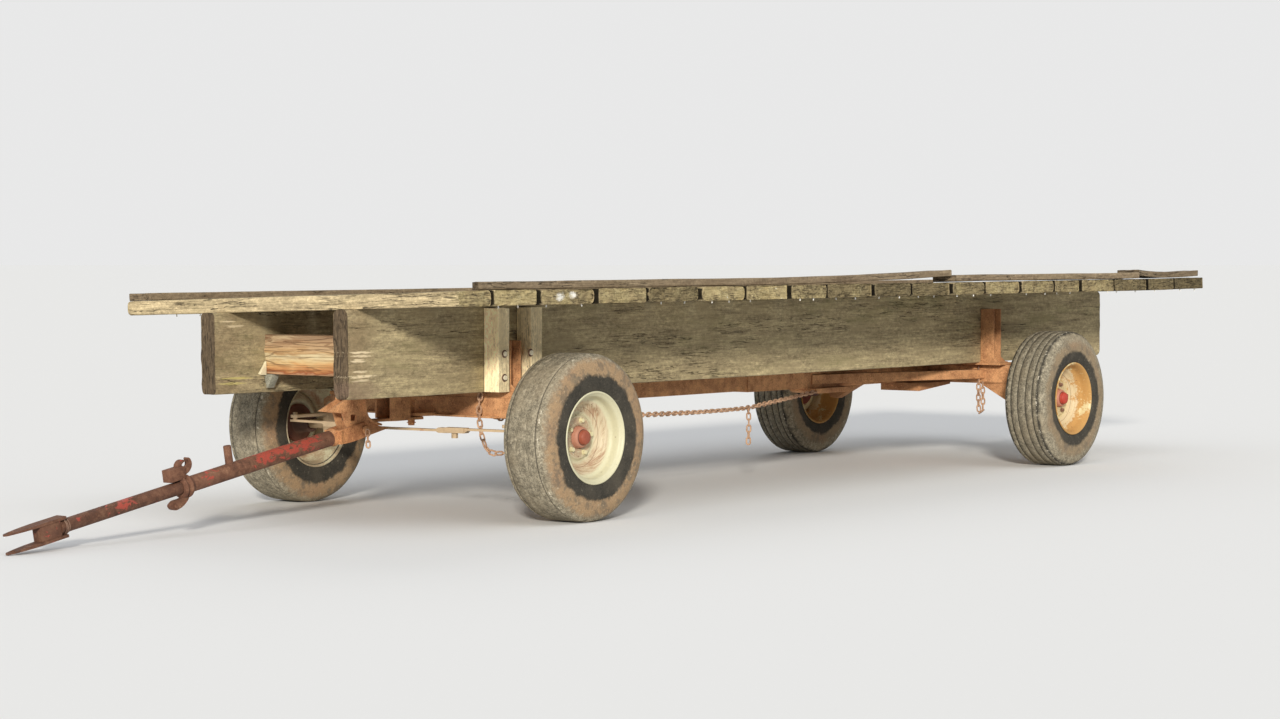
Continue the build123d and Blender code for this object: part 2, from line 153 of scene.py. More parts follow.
class Finish(Graph):
    """A material for one of the wagon's surfaces."""

    def __init__(self, name, rough, specular):
        self.material = bpy.data.materials.new(name)
        self.material.use_nodes = True
        super().__init__(self.material.node_tree)
        self.tree.nodes.clear()
        self.shader = self.node("ShaderNodeBsdfPrincipled", None, {
            "Roughness": rough, "Specular IOR Level": specular})
        out = self.node("ShaderNodeOutputMaterial")
        self.tree.links.new(self.shader.outputs[0], out.inputs["Surface"])

    def place(self):
        return self.node("ShaderNodeTexCoord").outputs["Object"]

    def vector(self, name):
        """One of the mesh's attributes, as a vector."""
        return self.node("ShaderNodeAttribute", {"attribute_name": name}).outputs["Vector"]

    def amount(self, name):
        """One of the mesh's attributes, as a number."""
        return Term(self, self.node("ShaderNodeAttribute", {"attribute_name": name}).outputs["Fac"])

    def axes(self, vector):
        made = self.node("ShaderNodeSeparateXYZ", None, {0: vector})
        return [Term(self, s) for s in made.outputs]

    def facing(self):
        return self.axes(self.node("ShaderNodeNewGeometry").outputs["Normal"])

    def cloud(self, vector, scale, detail, rough=0.55, bend=0.0):
        """Noise from 0 to 1. scale is one number, or one for each of the vector's axes."""
        if isinstance(scale, tuple):
            vector, scale = self.scaled(vector, scale), 1.0
        made = self.node("ShaderNodeTexNoise", {"noise_dimensions": "3D"}, {
            "Vector": vector, "Scale": scale, "Detail": detail, "Roughness": rough, "Distortion": bend})
        return Term(self, made.outputs["Fac"])

    def cells(self, vector, scale):
        made = self.node("ShaderNodeTexVoronoi", {"feature": "F1"}, {"Vector": vector, "Scale": scale})
        return Term(self, made.outputs["Distance"])

    def blend(self, amount, first, second):
        """The first colour where amount is 0, the second where it is 1."""
        made = self.node("ShaderNodeMix", {"data_type": "RGBA", "blend_type": "MIX", "clamp_factor": True}, {
            0: amount, 6: first, 7: second})
        return made.outputs[2]

    def ramp(self, amount, *stops):
        made = self.node("ShaderNodeValToRGB", None, {0: amount})
        line = made.color_ramp
        while len(line.elements) < len(stops):
            line.elements.new(0.5)
        for element, (position, colour) in zip(line.elements, stops):
            element.position, element.color = position, (*colour, 1.0)
        return made.outputs[0]

    def lit(self, colour, by):
        """Colour made brighter or darker by a number."""
        made = self.node("ShaderNodeVectorMath", {"operation": "SCALE"}, {0: colour, "Scale": by})
        return made.outputs[0]

    def colour(self, value):
        self.put(self.shader.inputs["Base Color"], value)

    def rough(self, value):
        self.put(self.shader.inputs["Roughness"], value)

    def relief(self, height, depth):
        bump = self.node("ShaderNodeBump", None, {"Height": height, "Distance": depth, "Strength": 1.0})
        self.put(self.shader.inputs["Normal"], bump.outputs[0])


# Finishes

def shade(colour, by):
    """Colour times one number, or times one for each of its three parts."""
    parts = by if isinstance(by, tuple) else (by, by, by)
    return tuple(c * k for c, k in zip(colour, parts))


ALGAE = (0.18, 0.165, 0.075)
BRUISE_TINT = (0.66, 0.58, 0.56)
OPEN_CHECK = (0.035, 0.027, 0.02)
END_CRACK = (0.03, 0.024, 0.018)
LICHEN_CRUST = (0.36, (0.27, 0.215, 0.105)), (0.52, (0.40, 0.325, 0.165)), (0.68, (0.57, 0.49, 0.29))
LICHEN_SPOT = (0.66, 0.63, 0.54)


def timber(name, tones, checks, algae, lichen, marks=(), spread=0.3, front=1.0,
           cut_tone=(1.0, 1.0, 1.0), bruised=False, marked_ends=False):
    """Sawn wood in three tones: pale, dark and stained. checks, algae and lichen say how much
    it has of each. The attribute grain holds metres along, across and through the board, tone
    its shade from -1 to 1, end is 1 on a cut end, closed is 1 where boards stand close, and
    front rises to 1 at its front end. Where closed is 1, painted shade darkens the faces almost
    to black. Each mark is a rub in the surface: (metres ahead of the front axle, height, half
    its length, half its height, strength, colour), and marked_ends keeps it to the cut ends.
    spread is how far boards differ, the value front paints light onto what looks forward,
    cut_tone tints the cut ends, and bruised darkens the front end."""
    pale, dark, stain = tones
    middle = tuple((a + b) / 2 for a, b in zip(dark, pale))
    f = Finish(name, 0.88, specular=0.12)
    grain = f.vector("grain")
    tone, end, closed = f.amount("tone"), f.amount("end"), f.amount("closed")
    fibre = f.cloud(grain, (9.0, 190.0, 190.0), 5.0, 0.7)
    streak = f.cloud(grain, (3.2, 30.0, 30.0), 4.0, 0.65, 0.3)
    blotch = f.cloud(grain, (4.0, 9.0, 9.0), 5.0, 0.65)
    mottle = f.cloud(grain, (34.0, 60.0, 60.0), 5.0, 0.8)
    grit = f.cloud(grain, (90.0, 170.0, 170.0), 3.0, 0.75)
    line = f.cloud(grain, (2.6, 46.0, 46.0), 3.0, 0.6)
    where = f.cloud(grain, (1.8, 8.0, 8.0), 2.0)
    check = abs(line - 0.5).step(0.013, 0.003) * where.step(0.60 - 0.2 * checks, 0.66 - 0.2 * checks)

    wear = streak * 0.4 + fibre * 0.4 + grit * 0.2
    base = f.ramp(wear, (0.40, dark), (0.50, middle), (0.60, pale))
    base = f.lit(base, (mottle - 0.5) * 2.0 + 1.0)
    base = f.blend(mottle.step(0.60, 0.68) * 0.35, base, shade(pale, 1.35))
    base = f.blend(blotch.step(0.46, 0.68) * 0.65, base, stain)
    green = f.cloud(grain, (1.6, 9.0, 9.0), 4.0, 0.65)
    base = f.blend(green.step(0.50, 0.70) * algae, base, ALGAE)
    if bruised:
        near = f.amount("front").step(0.45, 0.85)
        bruise = f.lit(shade(stain, BRUISE_TINT), (mottle - 0.5) * 2.4 + 1.0)
        base = f.blend(near * blotch.step(0.25, 0.6) * 0.6, base, bruise)
    # Painted light: faces that look forward are brightened by the value front, except where boards stand
    # close.
    if front != 1.0:
        looks, _, _ = f.facing()
        lit_forward = looks.step(0.55, 0.85)
        base = f.lit(base, lit_forward * (1.0 - closed) * (front - 1.0) + 1.0)
    base = f.blend(check * (0.7 + 0.2 * checks), base, OPEN_CHECK)

    knot = f.cloud(grain, (28.0, 34.0, 60.0), 4.0, 0.65)
    split = f.cloud(grain, (3.0, 7.0, 75.0), 2.0, 0.5)
    crack = abs(split - 0.5).step(0.03, 0.006)
    stops = ((0.34, dark), (0.52, middle), (0.68, pale))
    cut = f.ramp(knot * 0.7 + grit * 0.3, *((stop, shade(colour, cut_tone)) for stop, colour in stops))
    base = f.blend(end, base, f.blend(crack * 0.75, cut, END_CRACK))
    if marks:
        ahead, _, tall = f.axes(f.place())
        torn = (f.cloud(grain, (26.0, 170.0, 170.0), 4.0, 0.7) - 0.5) * 3.0
        frayed = (fibre - 0.5) * 2.0
        wander = (streak - 0.5) * 0.02
        for x, z, long, high, strength, colour in marks:
            along = (ahead - (AX + x)) / long
            above = (tall - z + wander) / high
            rub = (1.0 - along * along - above * above + torn + frayed).step(-0.1, 0.9)
            amount = rub * strength * end if marked_ends else rub * strength
            base = f.blend(amount, base, colour)
    if lichen:
        near_end = f.amount("front").step(0.45, 0.95).most(end)
        spot = f.cloud(f.moved(f.scaled(grain, (34.0, 40.0, 40.0)), (3.0, 9.0, 4.0)), 1.0, 6.0, 0.7)
        bed = f.cloud(grain, (5.0, 9.0, 9.0), 3.0, 0.6)
        cover = (spot * 0.45 + bed * 0.55 + near_end * 0.05 + tone * 0.07).step(0.50, 0.64)
        crust = f.ramp(grit * 0.5 + spot * 0.5, *LICHEN_CRUST)
        base = f.blend(cover * lichen * (end * 0.3 + near_end * 0.45), base, crust)
        bright = (spot + tone * 0.06).step(0.70, 0.73) * end
        base = f.blend(bright * lichen, base, LICHEN_SPOT)
    # Painted shade: faces where boards stand close are darkened almost to black.
    f.colour(f.lit(base, (tone * spread + 1.0) * (1.0 - closed * 0.95)))
    f.relief(fibre * 0.3 + streak * 0.2 - check * 1.2 + end * (knot * 0.9 - crack * 0.9), 0.0024)
    return f.material


# Fresh cross timber: where its face begins and how tall it is, and its colours from there up
SPLIT_LOW, SPLIT_TALL = 0.652, 0.18
SPLIT_LEVELS = (
    (0.00, (0.62, 0.36, 0.20)), (0.05, (0.36, 0.12, 0.05)), (0.12, (0.62, 0.28, 0.11)),
    (0.24, (0.74, 0.42, 0.18)), (0.34, (0.78, 0.56, 0.28)), (0.46, (0.82, 0.68, 0.41)),
    (0.55, (0.60, 0.38, 0.18)), (0.66, (0.66, 0.45, 0.25)), (0.80, (0.50, 0.32, 0.18)),
    (1.00, (0.36, 0.235, 0.14)))
SPLIT_GRAIN = (0.32, 0.155, 0.07)
SPLIT_FLAME = (0.84, 0.66, 0.40)
SPLIT_TEAR = (0.19, 0.085, 0.04)


def split_timber(name):
    """Fresh cross timber, split along its grain: brown above, a pale ridge, then orange."""
    f = Finish(name, 0.8, specular=0.15)
    grain = f.vector("grain")
    _, _, tall = f.axes(f.place())
    fibre = f.cloud(grain, (5.0, 120.0, 120.0), 5.0, 0.7)
    sliver = f.cloud(grain, (2.0, 34.0, 34.0), 2.0, 0.5, 0.3)
    flame = f.cloud(grain, (3.4, 15.0, 15.0), 4.0, 0.6, 0.9)
    level = (tall + (flame - 0.5) * 0.11 - SPLIT_LOW) * (1.0 / SPLIT_TALL)
    torn = abs(sliver - 0.5).step(0.022, 0.004)
    base = f.ramp(level, *SPLIT_LEVELS)
    base = f.blend(fibre.step(0.48, 0.62) * 0.5, base, SPLIT_GRAIN)
    base = f.blend(flame.step(0.56, 0.68) * 0.5, base, SPLIT_FLAME)
    base = f.blend(torn * 0.45, base, SPLIT_TEAR)
    f.colour(f.lit(base, 0.86))
    f.relief(fibre * 0.7 + flame * 0.7 - torn * 0.5, 0.006)
    return f.material


FIELD_DUST = (0.40, 0.31, 0.21)
BARREL_RED = (0.46, 0.225, 0.150)
CAP_GREASE = (0.06, 0.03, 0.02)
HUB_GREASE = (0.075, 0.045, 0.032)


def rusty(name, light, deep, dust=0.35, paint=None, cover=0.0, greasy=False):
    """Rusted steel, with what is left of its paint. A greasy hub is dark round its cap and on
    its inner side."""
    f = Finish(name, 0.85, specular=0.3)
    place = f.place()
    broad = f.cloud(place, 3.2, 3.0, 0.6)
    medium = f.cloud(place, 19.0, 5.0, 0.65)
    fine = f.cloud(place, 170.0, 4.0, 0.7)
    flecks = f.cloud(place, 85.0, 3.0, 0.75)
    pits = f.cells(place, 210.0)
    _, _, up = f.facing()
    base = f.ramp(medium * 0.55 + fine * 0.45, (0.36, deep), (0.54, light), (0.68, shade(light, 1.25)))
    base = f.blend(broad.step(0.46, 0.66) * 0.5, base, shade(deep, 0.8))
    base = f.blend(flecks.step(0.60, 0.68) * 0.55, base, shade(light, 1.45))
    base = f.blend(flecks.step(0.40, 0.33) * 0.6, base, shade(deep, 0.6))
    base = f.blend(up.step(0.2, 0.9) * dust * medium.step(0.3, 0.7), base, FIELD_DUST)
    height = fine * 0.5 + medium * 0.5 - pits.step(0.25, 0.05) * 0.4
    if paint:
        flake = f.cloud(place, 9.0, 5.0, 0.62, 0.4) * 0.75 + broad * 0.25
        coat = flake.step(0.56 - 0.28 * cover, 0.575 - 0.28 * cover)
        worn = f.blend(medium.step(0.35, 0.75) * 0.5, paint, shade(paint, 0.66))
        worn = f.blend(fine.step(0.55, 0.75) * 0.35, worn, light)
        base = f.blend(coat, base, worn)
        f.rough(0.84 - coat * 0.3)
        height = height * (1.0 - coat * 0.7) + coat * 0.55
    if greasy:
        radius, aside, _ = f.axes(f.vector("turn"))
        barrel = radius.step(0.0335, 0.0360) * radius.step(0.056, 0.050)
        cap_edge = abs(radius - 0.0350).step(0.0022, 0.0010)
        base = f.blend(barrel * 0.8, base, BARREL_RED)
        base = f.blend(cap_edge * 0.85, base, CAP_GREASE)
        base = f.blend(aside.step(0.008, -0.004) * 0.85, base, HUB_GREASE)
    f.colour(base)
    f.relief(height, 0.0012)
    return f.material


FADED_RED = (0.34, (0.085, 0.040, 0.025)), (0.5, (0.19, 0.083, 0.048)), (0.66, (0.33, 0.17, 0.098))
FADED_PATCH = (0.26, 0.12, 0.075)
BRIGHT_RED, DULL_RED = (0.40, 0.062, 0.040), (0.17, 0.060, 0.042)
RUST_THROUGH = (0.37, 0.20, 0.12)


def old_tongue_paint(name, patches, level):
    """Brown, faded paint with rust through it and bright red left in places. Each patch is
    (its middle ahead of the hinge, half its length, how much is left). level dims it all."""
    f = Finish(name, 0.75, specular=0.35)
    place = f.place()
    ahead, _, _ = f.axes(place)
    _, aside, up = f.facing()
    broad = f.cloud(place, 6.0, 4.0, 0.6)
    medium = f.cloud(place, 28.0, 5.0, 0.65, 0.3)
    fine = f.cloud(place, 190.0, 4.0, 0.7)
    flake = f.cloud(f.scaled(place, (0.55, 1.0, 1.0)), 46.0, 5.0, 0.68, 0.5)
    base = f.ramp(medium * 0.6 + fine * 0.4, *FADED_RED)
    base = f.lit(f.blend(broad.step(0.5, 0.7) * 0.6, base, FADED_PATCH), level)
    left = 0.0
    for middle, half, amount in patches:
        left = (1.0 - abs(ahead - (HINGE.x + middle)) / half).step(0.0, 0.7) * amount + left
    shown = (up * 0.5 + aside * 0.35 + 0.35).most(0.0).least(1.0)
    red = (flake * 1.05 + broad * 0.25 + left * shown * 0.25).step(0.80, 0.83)
    base = f.blend(red, base, f.blend(fine.step(0.40, 0.65) * 0.75, BRIGHT_RED, DULL_RED))
    base = f.blend(medium.step(0.68, 0.74) * 0.7, base, RUST_THROUGH)
    f.colour(base)
    f.rough(0.82 - red * 0.27)
    f.relief(fine * 0.4 + medium * 0.4 + red * 0.45, 0.001)
    return f.material


TYRE_BLACK = (0.35, (0.026, 0.024, 0.020)), (0.65, (0.072, 0.064, 0.050))
TYRE_GREY = (0.37, (0.065, 0.058, 0.044)), (0.49, (0.235, 0.205, 0.148)), (0.63, (0.50, 0.44, 0.325))
FRONT_MUD, REAR_MUD = (0.30, 0.205, 0.118), (0.23, 0.175, 0.11)
DAMP_MUD, DARK_MUD = (0.185, 0.150, 0.105), (0.135, 0.112, 0.085)
RED_MUD, DRY_MUD = (0.33, 0.19, 0.115), (0.52, 0.42, 0.29)
GREY_STAIN, BLACK_STAIN = (0.31, 0.25, 0.165), (0.14, 0.117, 0.084)
SEAM_DIRT, SHOULDER_DUST = (0.05, 0.044, 0.036), (0.66, 0.60, 0.48)


def rubber(name, bald, mud_in, mud_out, mud):
    """Weathered tyre, its wall caked with mud between two radii. The attribute turn holds
    radius, distance from its middle plane and distance round it, in metres."""
    f = Finish(name, 0.92, specular=0.2)
    place = f.place()
    radius, aside, _ = f.axes(f.vector("turn"))
    ragged = f.cloud(place, 8.0, 6.0, 0.68)
    grit = f.cloud(place, 150.0, 5.0, 0.75)
    specks = f.cloud(place, 55.0, 3.0, 0.7)
    dusty = f.cloud(place, 24.0, 4.0, 0.7)
    wide = f.cloud(place, 5.0, 2.0, 0.5)
    patch = f.cloud(place, 13.0, 5.0, 0.7)
    side = (abs(aside) + (dusty - 0.5) * 0.03).step(0.096, 0.113)

    black = f.ramp(grit * 0.6 + dusty * 0.4, *TYRE_BLACK)
    grey = f.ramp(grit * 0.45 + specks * 0.35 + dusty * 0.2, *TYRE_GREY)
    grey = f.blend(wide.step(0.45, 0.7) * 0.4, grey, GREY_STAIN)
    clean = f.blend(specks.step(0.6, 0.7) * 0.2, black, grey)
    clean = f.blend(wide.step(0.45, 0.75) * 0.3, clean, BLACK_STAIN)

    edge = radius + (ragged - 0.5) * 0.07
    band = (edge + (specks - 0.5) * 0.02).step(mud_in - 0.008, mud_in + 0.012)
    outer = (edge + (specks - 0.5) * 0.05).step(mud_out - 0.02, mud_out + 0.02)
    mudded = f.blend(grit.step(0.35, 0.7) * 0.65, mud, shade(mud, 1.6))
    mudded = f.blend(dusty.step(0.48, 0.66) * 0.8, mudded, DAMP_MUD)
    mudded = f.blend(wide.step(0.5, 0.75) * 0.35, mudded, RED_MUD)
    mudded = f.blend(patch.step(0.50, 0.62) * 0.6, mudded, DARK_MUD)
    mudded = f.blend(specks.step(0.64, 0.69) * 0.7, mudded, DRY_MUD)
    wall = f.blend(band, clean, f.blend(outer, mudded, grey))

    if bald:
        seam = abs(abs(aside) - 0.080 + (specks - 0.5) * 0.002).step(0.0038, 0.0016)
        tread = f.blend(seam * 0.85, grey, SEAM_DIRT)
    else:
        worn = radius.step(TYRE_R - 0.0065, TYRE_R - 0.0025)
        tread = f.blend(worn, black, f.lit(grey, 0.85))
    shoulder = (abs(abs(aside) - 0.094) * -60.0 + specks * 1.9).step(1.00, 1.12)
    tread = f.blend(shoulder * 0.85, tread, SHOULDER_DUST)
    f.colour(f.blend(side, tread, wall))
    f.relief(grit * 0.6 + specks * 0.7 + dusty * 0.3 + band * side * 0.4, 0.0028)
    return f.material


# Dirt on the dish, and rust with painted shade round the hub.
DISH_DIRT, WELL_RUST_AND_SHADE = (0.56, 0.40, 0.265), (0.34, 0.17, 0.095)
RUST_SPOT, GROOVE_DIRT = (0.14, 0.06, 0.03), (0.16, 0.075, 0.04)


def rim_paint(name, cream, wash, rust, washed, rust_cover):
    """Wheel enamel, its dish washed with rust in brush strokes and its edge rusted through. Round the hub it
    has rust in strokes, darkened as painted shade.
    """
    f = Finish(name, 0.5, specular=0.45)
    turn = f.vector("turn")
    place = f.place()
    radius, aside, _ = f.axes(turn)
    broad = f.cloud(place, 12.0, 4.0, 0.6)
    fine = f.cloud(place, 95.0, 5.0, 0.7)
    spots = f.cloud(place, 60.0, 2.0, 0.6)
    strokes = f.cloud(turn, (14.0, 14.0, 75.0), 4.0, 0.7, 0.8)
    base = f.blend(fine.step(0.35, 0.7) * 0.35, cream, shade(cream, 0.82))
    ring = radius.step(0.110, 0.128) * radius.step(0.1725, 0.160)
    dull = ring * (strokes * 0.65 + broad * 0.35).step(0.46, 0.60)
    base = f.blend(ring * 0.45, base, DISH_DIRT)
    base = f.blend(dull * washed, base, wash)
    # Rust and painted shade: dark red-brown strokes round the hub, where the dish is shaded.
    well_rust_and_shade = radius.step(0.104, 0.084) * (strokes * 0.5 + fine * 0.5).step(0.38, 0.56)
    base = f.blend(well_rust_and_shade * washed * 0.8, base, WELL_RUST_AND_SHADE)
    inside = aside.step(0.024, -0.01) * (broad * 0.6 + fine * 0.4).step(0.40, 0.58)
    base = f.blend(inside * 0.55, base, shade(rust, 0.7))
    edge = radius.step(0.146, 0.172) * 0.18
    rusted = broad * 0.6 + fine * 0.4 + edge * (rust_cover * 7.0)
    rusted = rusted.step(0.66 - rust_cover, 0.74 - rust_cover)
    base = f.blend(rusted * 0.85, base, f.blend(fine, rust, shade(rust, 0.6)))
    base = f.blend(spots.step(0.70, 0.74), base, RUST_SPOT)
    groove = abs(radius - 0.1345).step(0.0016, 0.0006) * 0.6
    base = f.blend(groove, base, GROOVE_DIRT)
    f.colour(base)
    f.rough(0.5 + rusted * 0.35)
    f.relief(fine * 0.5 - rusted * 0.3 - groove, 0.0008)
    return f.material


def fine_spangle(name, colour):
    """Zinc or bare metal, and the clean face of a splinter, with a fine mottle."""
    f = Finish(name, 0.5, specular=0.5)
    spangle = f.cloud(f.place(), 240.0, 3.0, 0.6)
    f.colour(f.blend(spangle.step(0.45, 0.7) * 0.5, colour, shade(colour, 0.6)))
    f.relief(spangle, 0.0004)
    return f.material


PALE_RUB, BROWN_RUB, GREEN_RUB = (0.68, 0.56, 0.37), (0.19, 0.125, 0.09), (0.50, 0.43, 0.16)
PAINT_DAB = (0.74, 0.72, 0.66)
LEFT_SILL_RUBS = (
    (0.935, 0.772, 0.070, 0.007, 0.9, PALE_RUB), (0.925, 0.757, 0.080, 0.006, 0.8, PALE_RUB),
    (0.945, 0.738, 0.050, 0.008, 0.8, PALE_RUB), (0.935, 0.690, 0.055, 0.005, 0.7, PALE_RUB),
    (0.920, 0.668, 0.095, 0.009, 0.9, PALE_RUB), (0.930, 0.652, 0.060, 0.006, 0.7, PALE_RUB),
    (0.93, 0.61, 0.13, 0.05, 0.5, BROWN_RUB))
RIGHT_SILL_RUBS = (
    (0.92, 0.640, 0.110, 0.008, 0.8, GREEN_RUB), (0.95, 0.618, 0.080, 0.006, 0.7, GREEN_RUB),
    (0.97, 0.895, 0.05, 0.005, 0.6, PALE_RUB), (0.92, 0.872, 0.07, 0.007, 0.6, PALE_RUB))
PLANK_RUBS = (0.293, 1.010, 0.035, 0.020, 1.0, PAINT_DAB), (0.209, 1.016, 0.030, 0.018, 1.0, PAINT_DAB)

# Tones of each timber: pale, dark and stained
SILL_TONES = (0.42, 0.345, 0.200), (0.180, 0.142, 0.085), (0.28, 0.225, 0.130)
PLANK_TONES = (0.45, 0.36, 0.215), (0.165, 0.128, 0.075), (0.29, 0.235, 0.135)
BOARD_TONES = (0.33, 0.255, 0.165), (0.15, 0.106, 0.066), (0.26, 0.195, 0.125)
BLOCK_TONES = (0.84, 0.72, 0.46), (0.56, 0.45, 0.27), (0.68, 0.57, 0.35)
SILL_CUT = (0.35, 0.31, 0.33)
PLANK_CUT = (0.85, 0.84, 0.76)
CREAM = (0.68, 0.62, 0.38)

FINISH = {
    "sill_left": timber("left_sill", SILL_TONES, 0.25, 0.4, 0.0, LEFT_SILL_RUBS, cut_tone=SILL_CUT,
                        bruised=True),
    "sill_right": timber("right_sill", SILL_TONES, 0.35, 0.55, 0.0, RIGHT_SILL_RUBS, cut_tone=SILL_CUT,
                         bruised=True),
    # Painted light: front brightens the faces of the planks that look forward.
    "plank": timber("weathered_planks", PLANK_TONES, 0.6, 0.25, 0.9, PLANK_RUBS, spread=0.28, front=1.35,
                    cut_tone=PLANK_CUT, marked_ends=True),
    "board": timber("weathered_boards", BOARD_TONES, 0.6, 0.1, 0.0),
    # Painted light: front brightens the faces of the blocks that look forward.
    "block": timber("treated_blocks", BLOCK_TONES, 0.3, 0.1, 0.0, front=1.25),
    "cross": split_timber("split_cross_timber"),
    "steel": rusty("rusted_gear", (0.62, 0.320, 0.148), (0.30, 0.130, 0.059)),
    # Painted shade: a slightly darker copy of the gear's rust, for the reach tube.
    "reach_steel_shaded": rusty("rusted_reach", (0.60, 0.305, 0.138), (0.28, 0.120, 0.056)),
    "grey_steel": rusty("grey_bracket", (0.33, 0.32, 0.25), (0.19, 0.18, 0.14), 0.2),
    "cream_steel": rusty("cream_knuckles", (0.50, 0.28, 0.15), (0.26, 0.12, 0.06),
                         paint=(0.54, 0.40, 0.25), cover=0.55),
    "tongue": old_tongue_paint("tongue_paint", ((0.48, 0.33, 1.0), (0.93, 0.07, 0.4)), 0.74),
    "inner_tube": old_tongue_paint("slide_tube_paint", ((1.41, 0.07, 1.0), (1.52, 0.04, 0.4)), 0.62),
    "collar": rusty("weld_collar", (0.58, 0.27, 0.115), (0.26, 0.10, 0.045)),
    "chain": rusty("chain_rust", (0.54, 0.34, 0.215), (0.29, 0.16, 0.10), 0.2),
    "tyre_front": rubber("front_tyre_rubber", True, 0.281, 0.354, FRONT_MUD),
    "tyre_rear": rubber("rear_tyre_rubber", False, 0.262, 0.318, REAR_MUD),
    "rim_front": rim_paint("front_rim_enamel", (0.58, 0.55, 0.375), (0.33, 0.185, 0.105),
                           (0.38, 0.16, 0.07), 0.85, 0.0),
    "rim_rear": rim_paint("rear_rim_enamel", (0.62, 0.52, 0.285), (0.60, 0.51, 0.32),
                          (0.56, 0.27, 0.06), 0.3, 0.115),
    "hub_front": rusty("front_hub_paint", (0.34, 0.14, 0.075), (0.16, 0.06, 0.035), 0.4,
                       (0.31, 0.080, 0.045), 0.75, greasy=True),
    "hub_rear": rusty("rear_hub_paint", (0.40, 0.20, 0.14), (0.20, 0.08, 0.05), 0.3,
                      (0.46, 0.055, 0.035), 0.9, greasy=True),
    "lug_front": rusty("front_lug_nuts", (0.42, 0.24, 0.13), (0.22, 0.10, 0.06), 0.5, CREAM, 0.6),
    "lug_rear": rusty("rear_lug_nuts", (0.26, 0.14, 0.09), (0.12, 0.06, 0.04), 0.4),
    "wire": rusty("wire_rust", (0.22, 0.13, 0.09), (0.11, 0.06, 0.045)),
    "bolt": fine_spangle("galvanised_bolts", (0.88, 0.80, 0.60)),
    "nail": fine_spangle("bright_nails", (0.90, 0.87, 0.80)),
    "splinter": fine_spangle("fresh_splinter", (0.80, 0.71, 0.48)),
}


# Mesh helpers

# Corners closer together than this, in metres, become one
SAME_PLACE = 1e-5


def piece(name, bm, body, finish, replaces=(), smooth=False):
    """Turns a bmesh into a finished piece that rides a body."""
    bmesh.ops.remove_doubles(bm, verts=bm.verts, dist=SAME_PLACE)
    mesh = bpy.data.meshes.new(name)
    bm.to_mesh(mesh)
    bm.free()
    return settle(name, mesh, body, finish, replaces, smooth)


def settle(name, mesh, body, finish, replaces, smooth):
    obj = bpy.data.objects.new(name, mesh)
    bpy.context.scene.collection.objects.link(obj)
    mesh.materials.clear()
    mesh.materials.append(FINISH[finish])
    mesh.polygons.foreach_set("use_smooth", [smooth] * len(mesh.polygons))
    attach(obj, body)
    if replaces:
        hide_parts(*replaces)
    return obj


def merged_copy(node):
    """Mesh of a CAD node with its loose triangles joined."""
    bm = bmesh.new()
    bm.from_mesh(frame["nodes"][node].data)
    bmesh.ops.remove_doubles(bm, verts=bm.verts, dist=SAME_PLACE)
    return bm


def islands(node):
    """Loose solids of a CAD node, from the front, each as a list of its corners."""
    bm = merged_copy(node)
    seen, found = set(), []
    for first in bm.verts:
        if first in seen:
            continue
        seen.add(first)
        queue, group = [first], []
        while queue:
            v = queue.pop()
            group.append(v.co.copy())
            for e in v.link_edges:
                w = e.other_vert(v)
                if w not in seen:
                    seen.add(w)
                    queue.append(w)
        found.append(group)
    bm.free()
    return sorted(found, key=lambda g: (-max(p.x for p in g), -max(p.y for p in g)))


def span(points):
    """Lowest and highest corner of the box round some points."""
    return [Vector([pick(p[i] for p in points) for i in range(3)]) for pick in (min, max)]


def smoothed(points, steps):
    """Catmull-Rom curve through points."""
    line = [Vector(p) for p in points]
    line = [2 * line[0] - line[1]] + line + [2 * line[-1] - line[-2]]
    out = []
    for a, b, c, d in zip(line, line[1:], line[2:], line[3:]):
        square, cube = 2 * a - 5 * b + 4 * c - d, 3 * b - a - 3 * c + d
        for k in range(steps):
            t = k / steps
            out.append(0.5 * (2 * b + (c - a) * t + square * t * t + cube * t ** 3))
    return out + [line[-2]]


def skinned(bm, rings, around, closed, flip=False):
    """Faces from ring to ring of corners. A ring of one corner comes to a point."""
    for one, two in list(zip(rings, rings[1:])) + ([(rings[-1], rings[0])] if closed else []):
        for k in range(around):
            corners = [ring[j % len(ring)] for ring, j in ((one, k), (one, k + 1), (two, k + 1), (two, k))]
            if flip:
                corners.reverse()
            kept = [v for i, v in enumerate(corners) if v not in corners[:i]]
            if len(kept) > 2:
                bm.faces.new(kept)


def layer(kind, name):
    """A mesh's attribute of that name, made if it is new."""
    return kind.get(name) or kind.new(name)


def turned(bm, outline, centre, side, around, shape):
    """Closed section of (y, radius) turned about the Y axis through centre, with its attribute
    turn. shape, unless it is None, moves a point (y, radius, angle)."""
    turn = layer(bm.verts.layers.float_vector, "turn")
    rings = []
    for y, r in outline:
        ring = []
        for k in range(around if r > 1e-6 else 1):
            a = 2 * pi * k / around
            yy, rr = shape(y, r, a) if shape else (y, r)
            v = bm.verts.new(centre + Vector((rr * cos(a), side * yy, rr * sin(a))))
            v[turn] = (r, y, a * r)
            ring.append(v)
        rings.append(ring)
    skinned(bm, rings, around, closed=True, flip=side < 0)


def section(wide, thick, corner, across, through):
    """Points round a board's cut end, with rounded corners."""
    points = []
    signs = ((1, 1), (-1, 1), (-1, -1), (1, -1))
    for i, (sv, sw) in enumerate(signs):
        nv, nw = signs[(i + 1) % 4]
        middle = Vector((sv * (wide / 2 - corner), sw * (thick / 2 - corner)))
        following = Vector((nv * (wide / 2 - corner), nw * (thick / 2 - corner)))
        for k in range(4):
            turn = (i + k / 3) * pi / 2
            points.append(middle + corner * Vector((cos(turn), sin(turn))))
        tip = corner * Vector((cos((i + 1) * pi / 2), sin((i + 1) * pi / 2)))
        n = (across, through)[i % 2]
        points += [middle.lerp(following, k / n) + tip for k in range(1, n)]
    return points


def wave(*place):
    """Smooth noise of about -1 to 1 at a place."""
    return noise.noise(Vector(place))


# Rings of corners near a sawn board's ends, in metres from the end
NEAR_END = [0.0, 0.004, 0.012, 0.024, 0.040, 0.065]


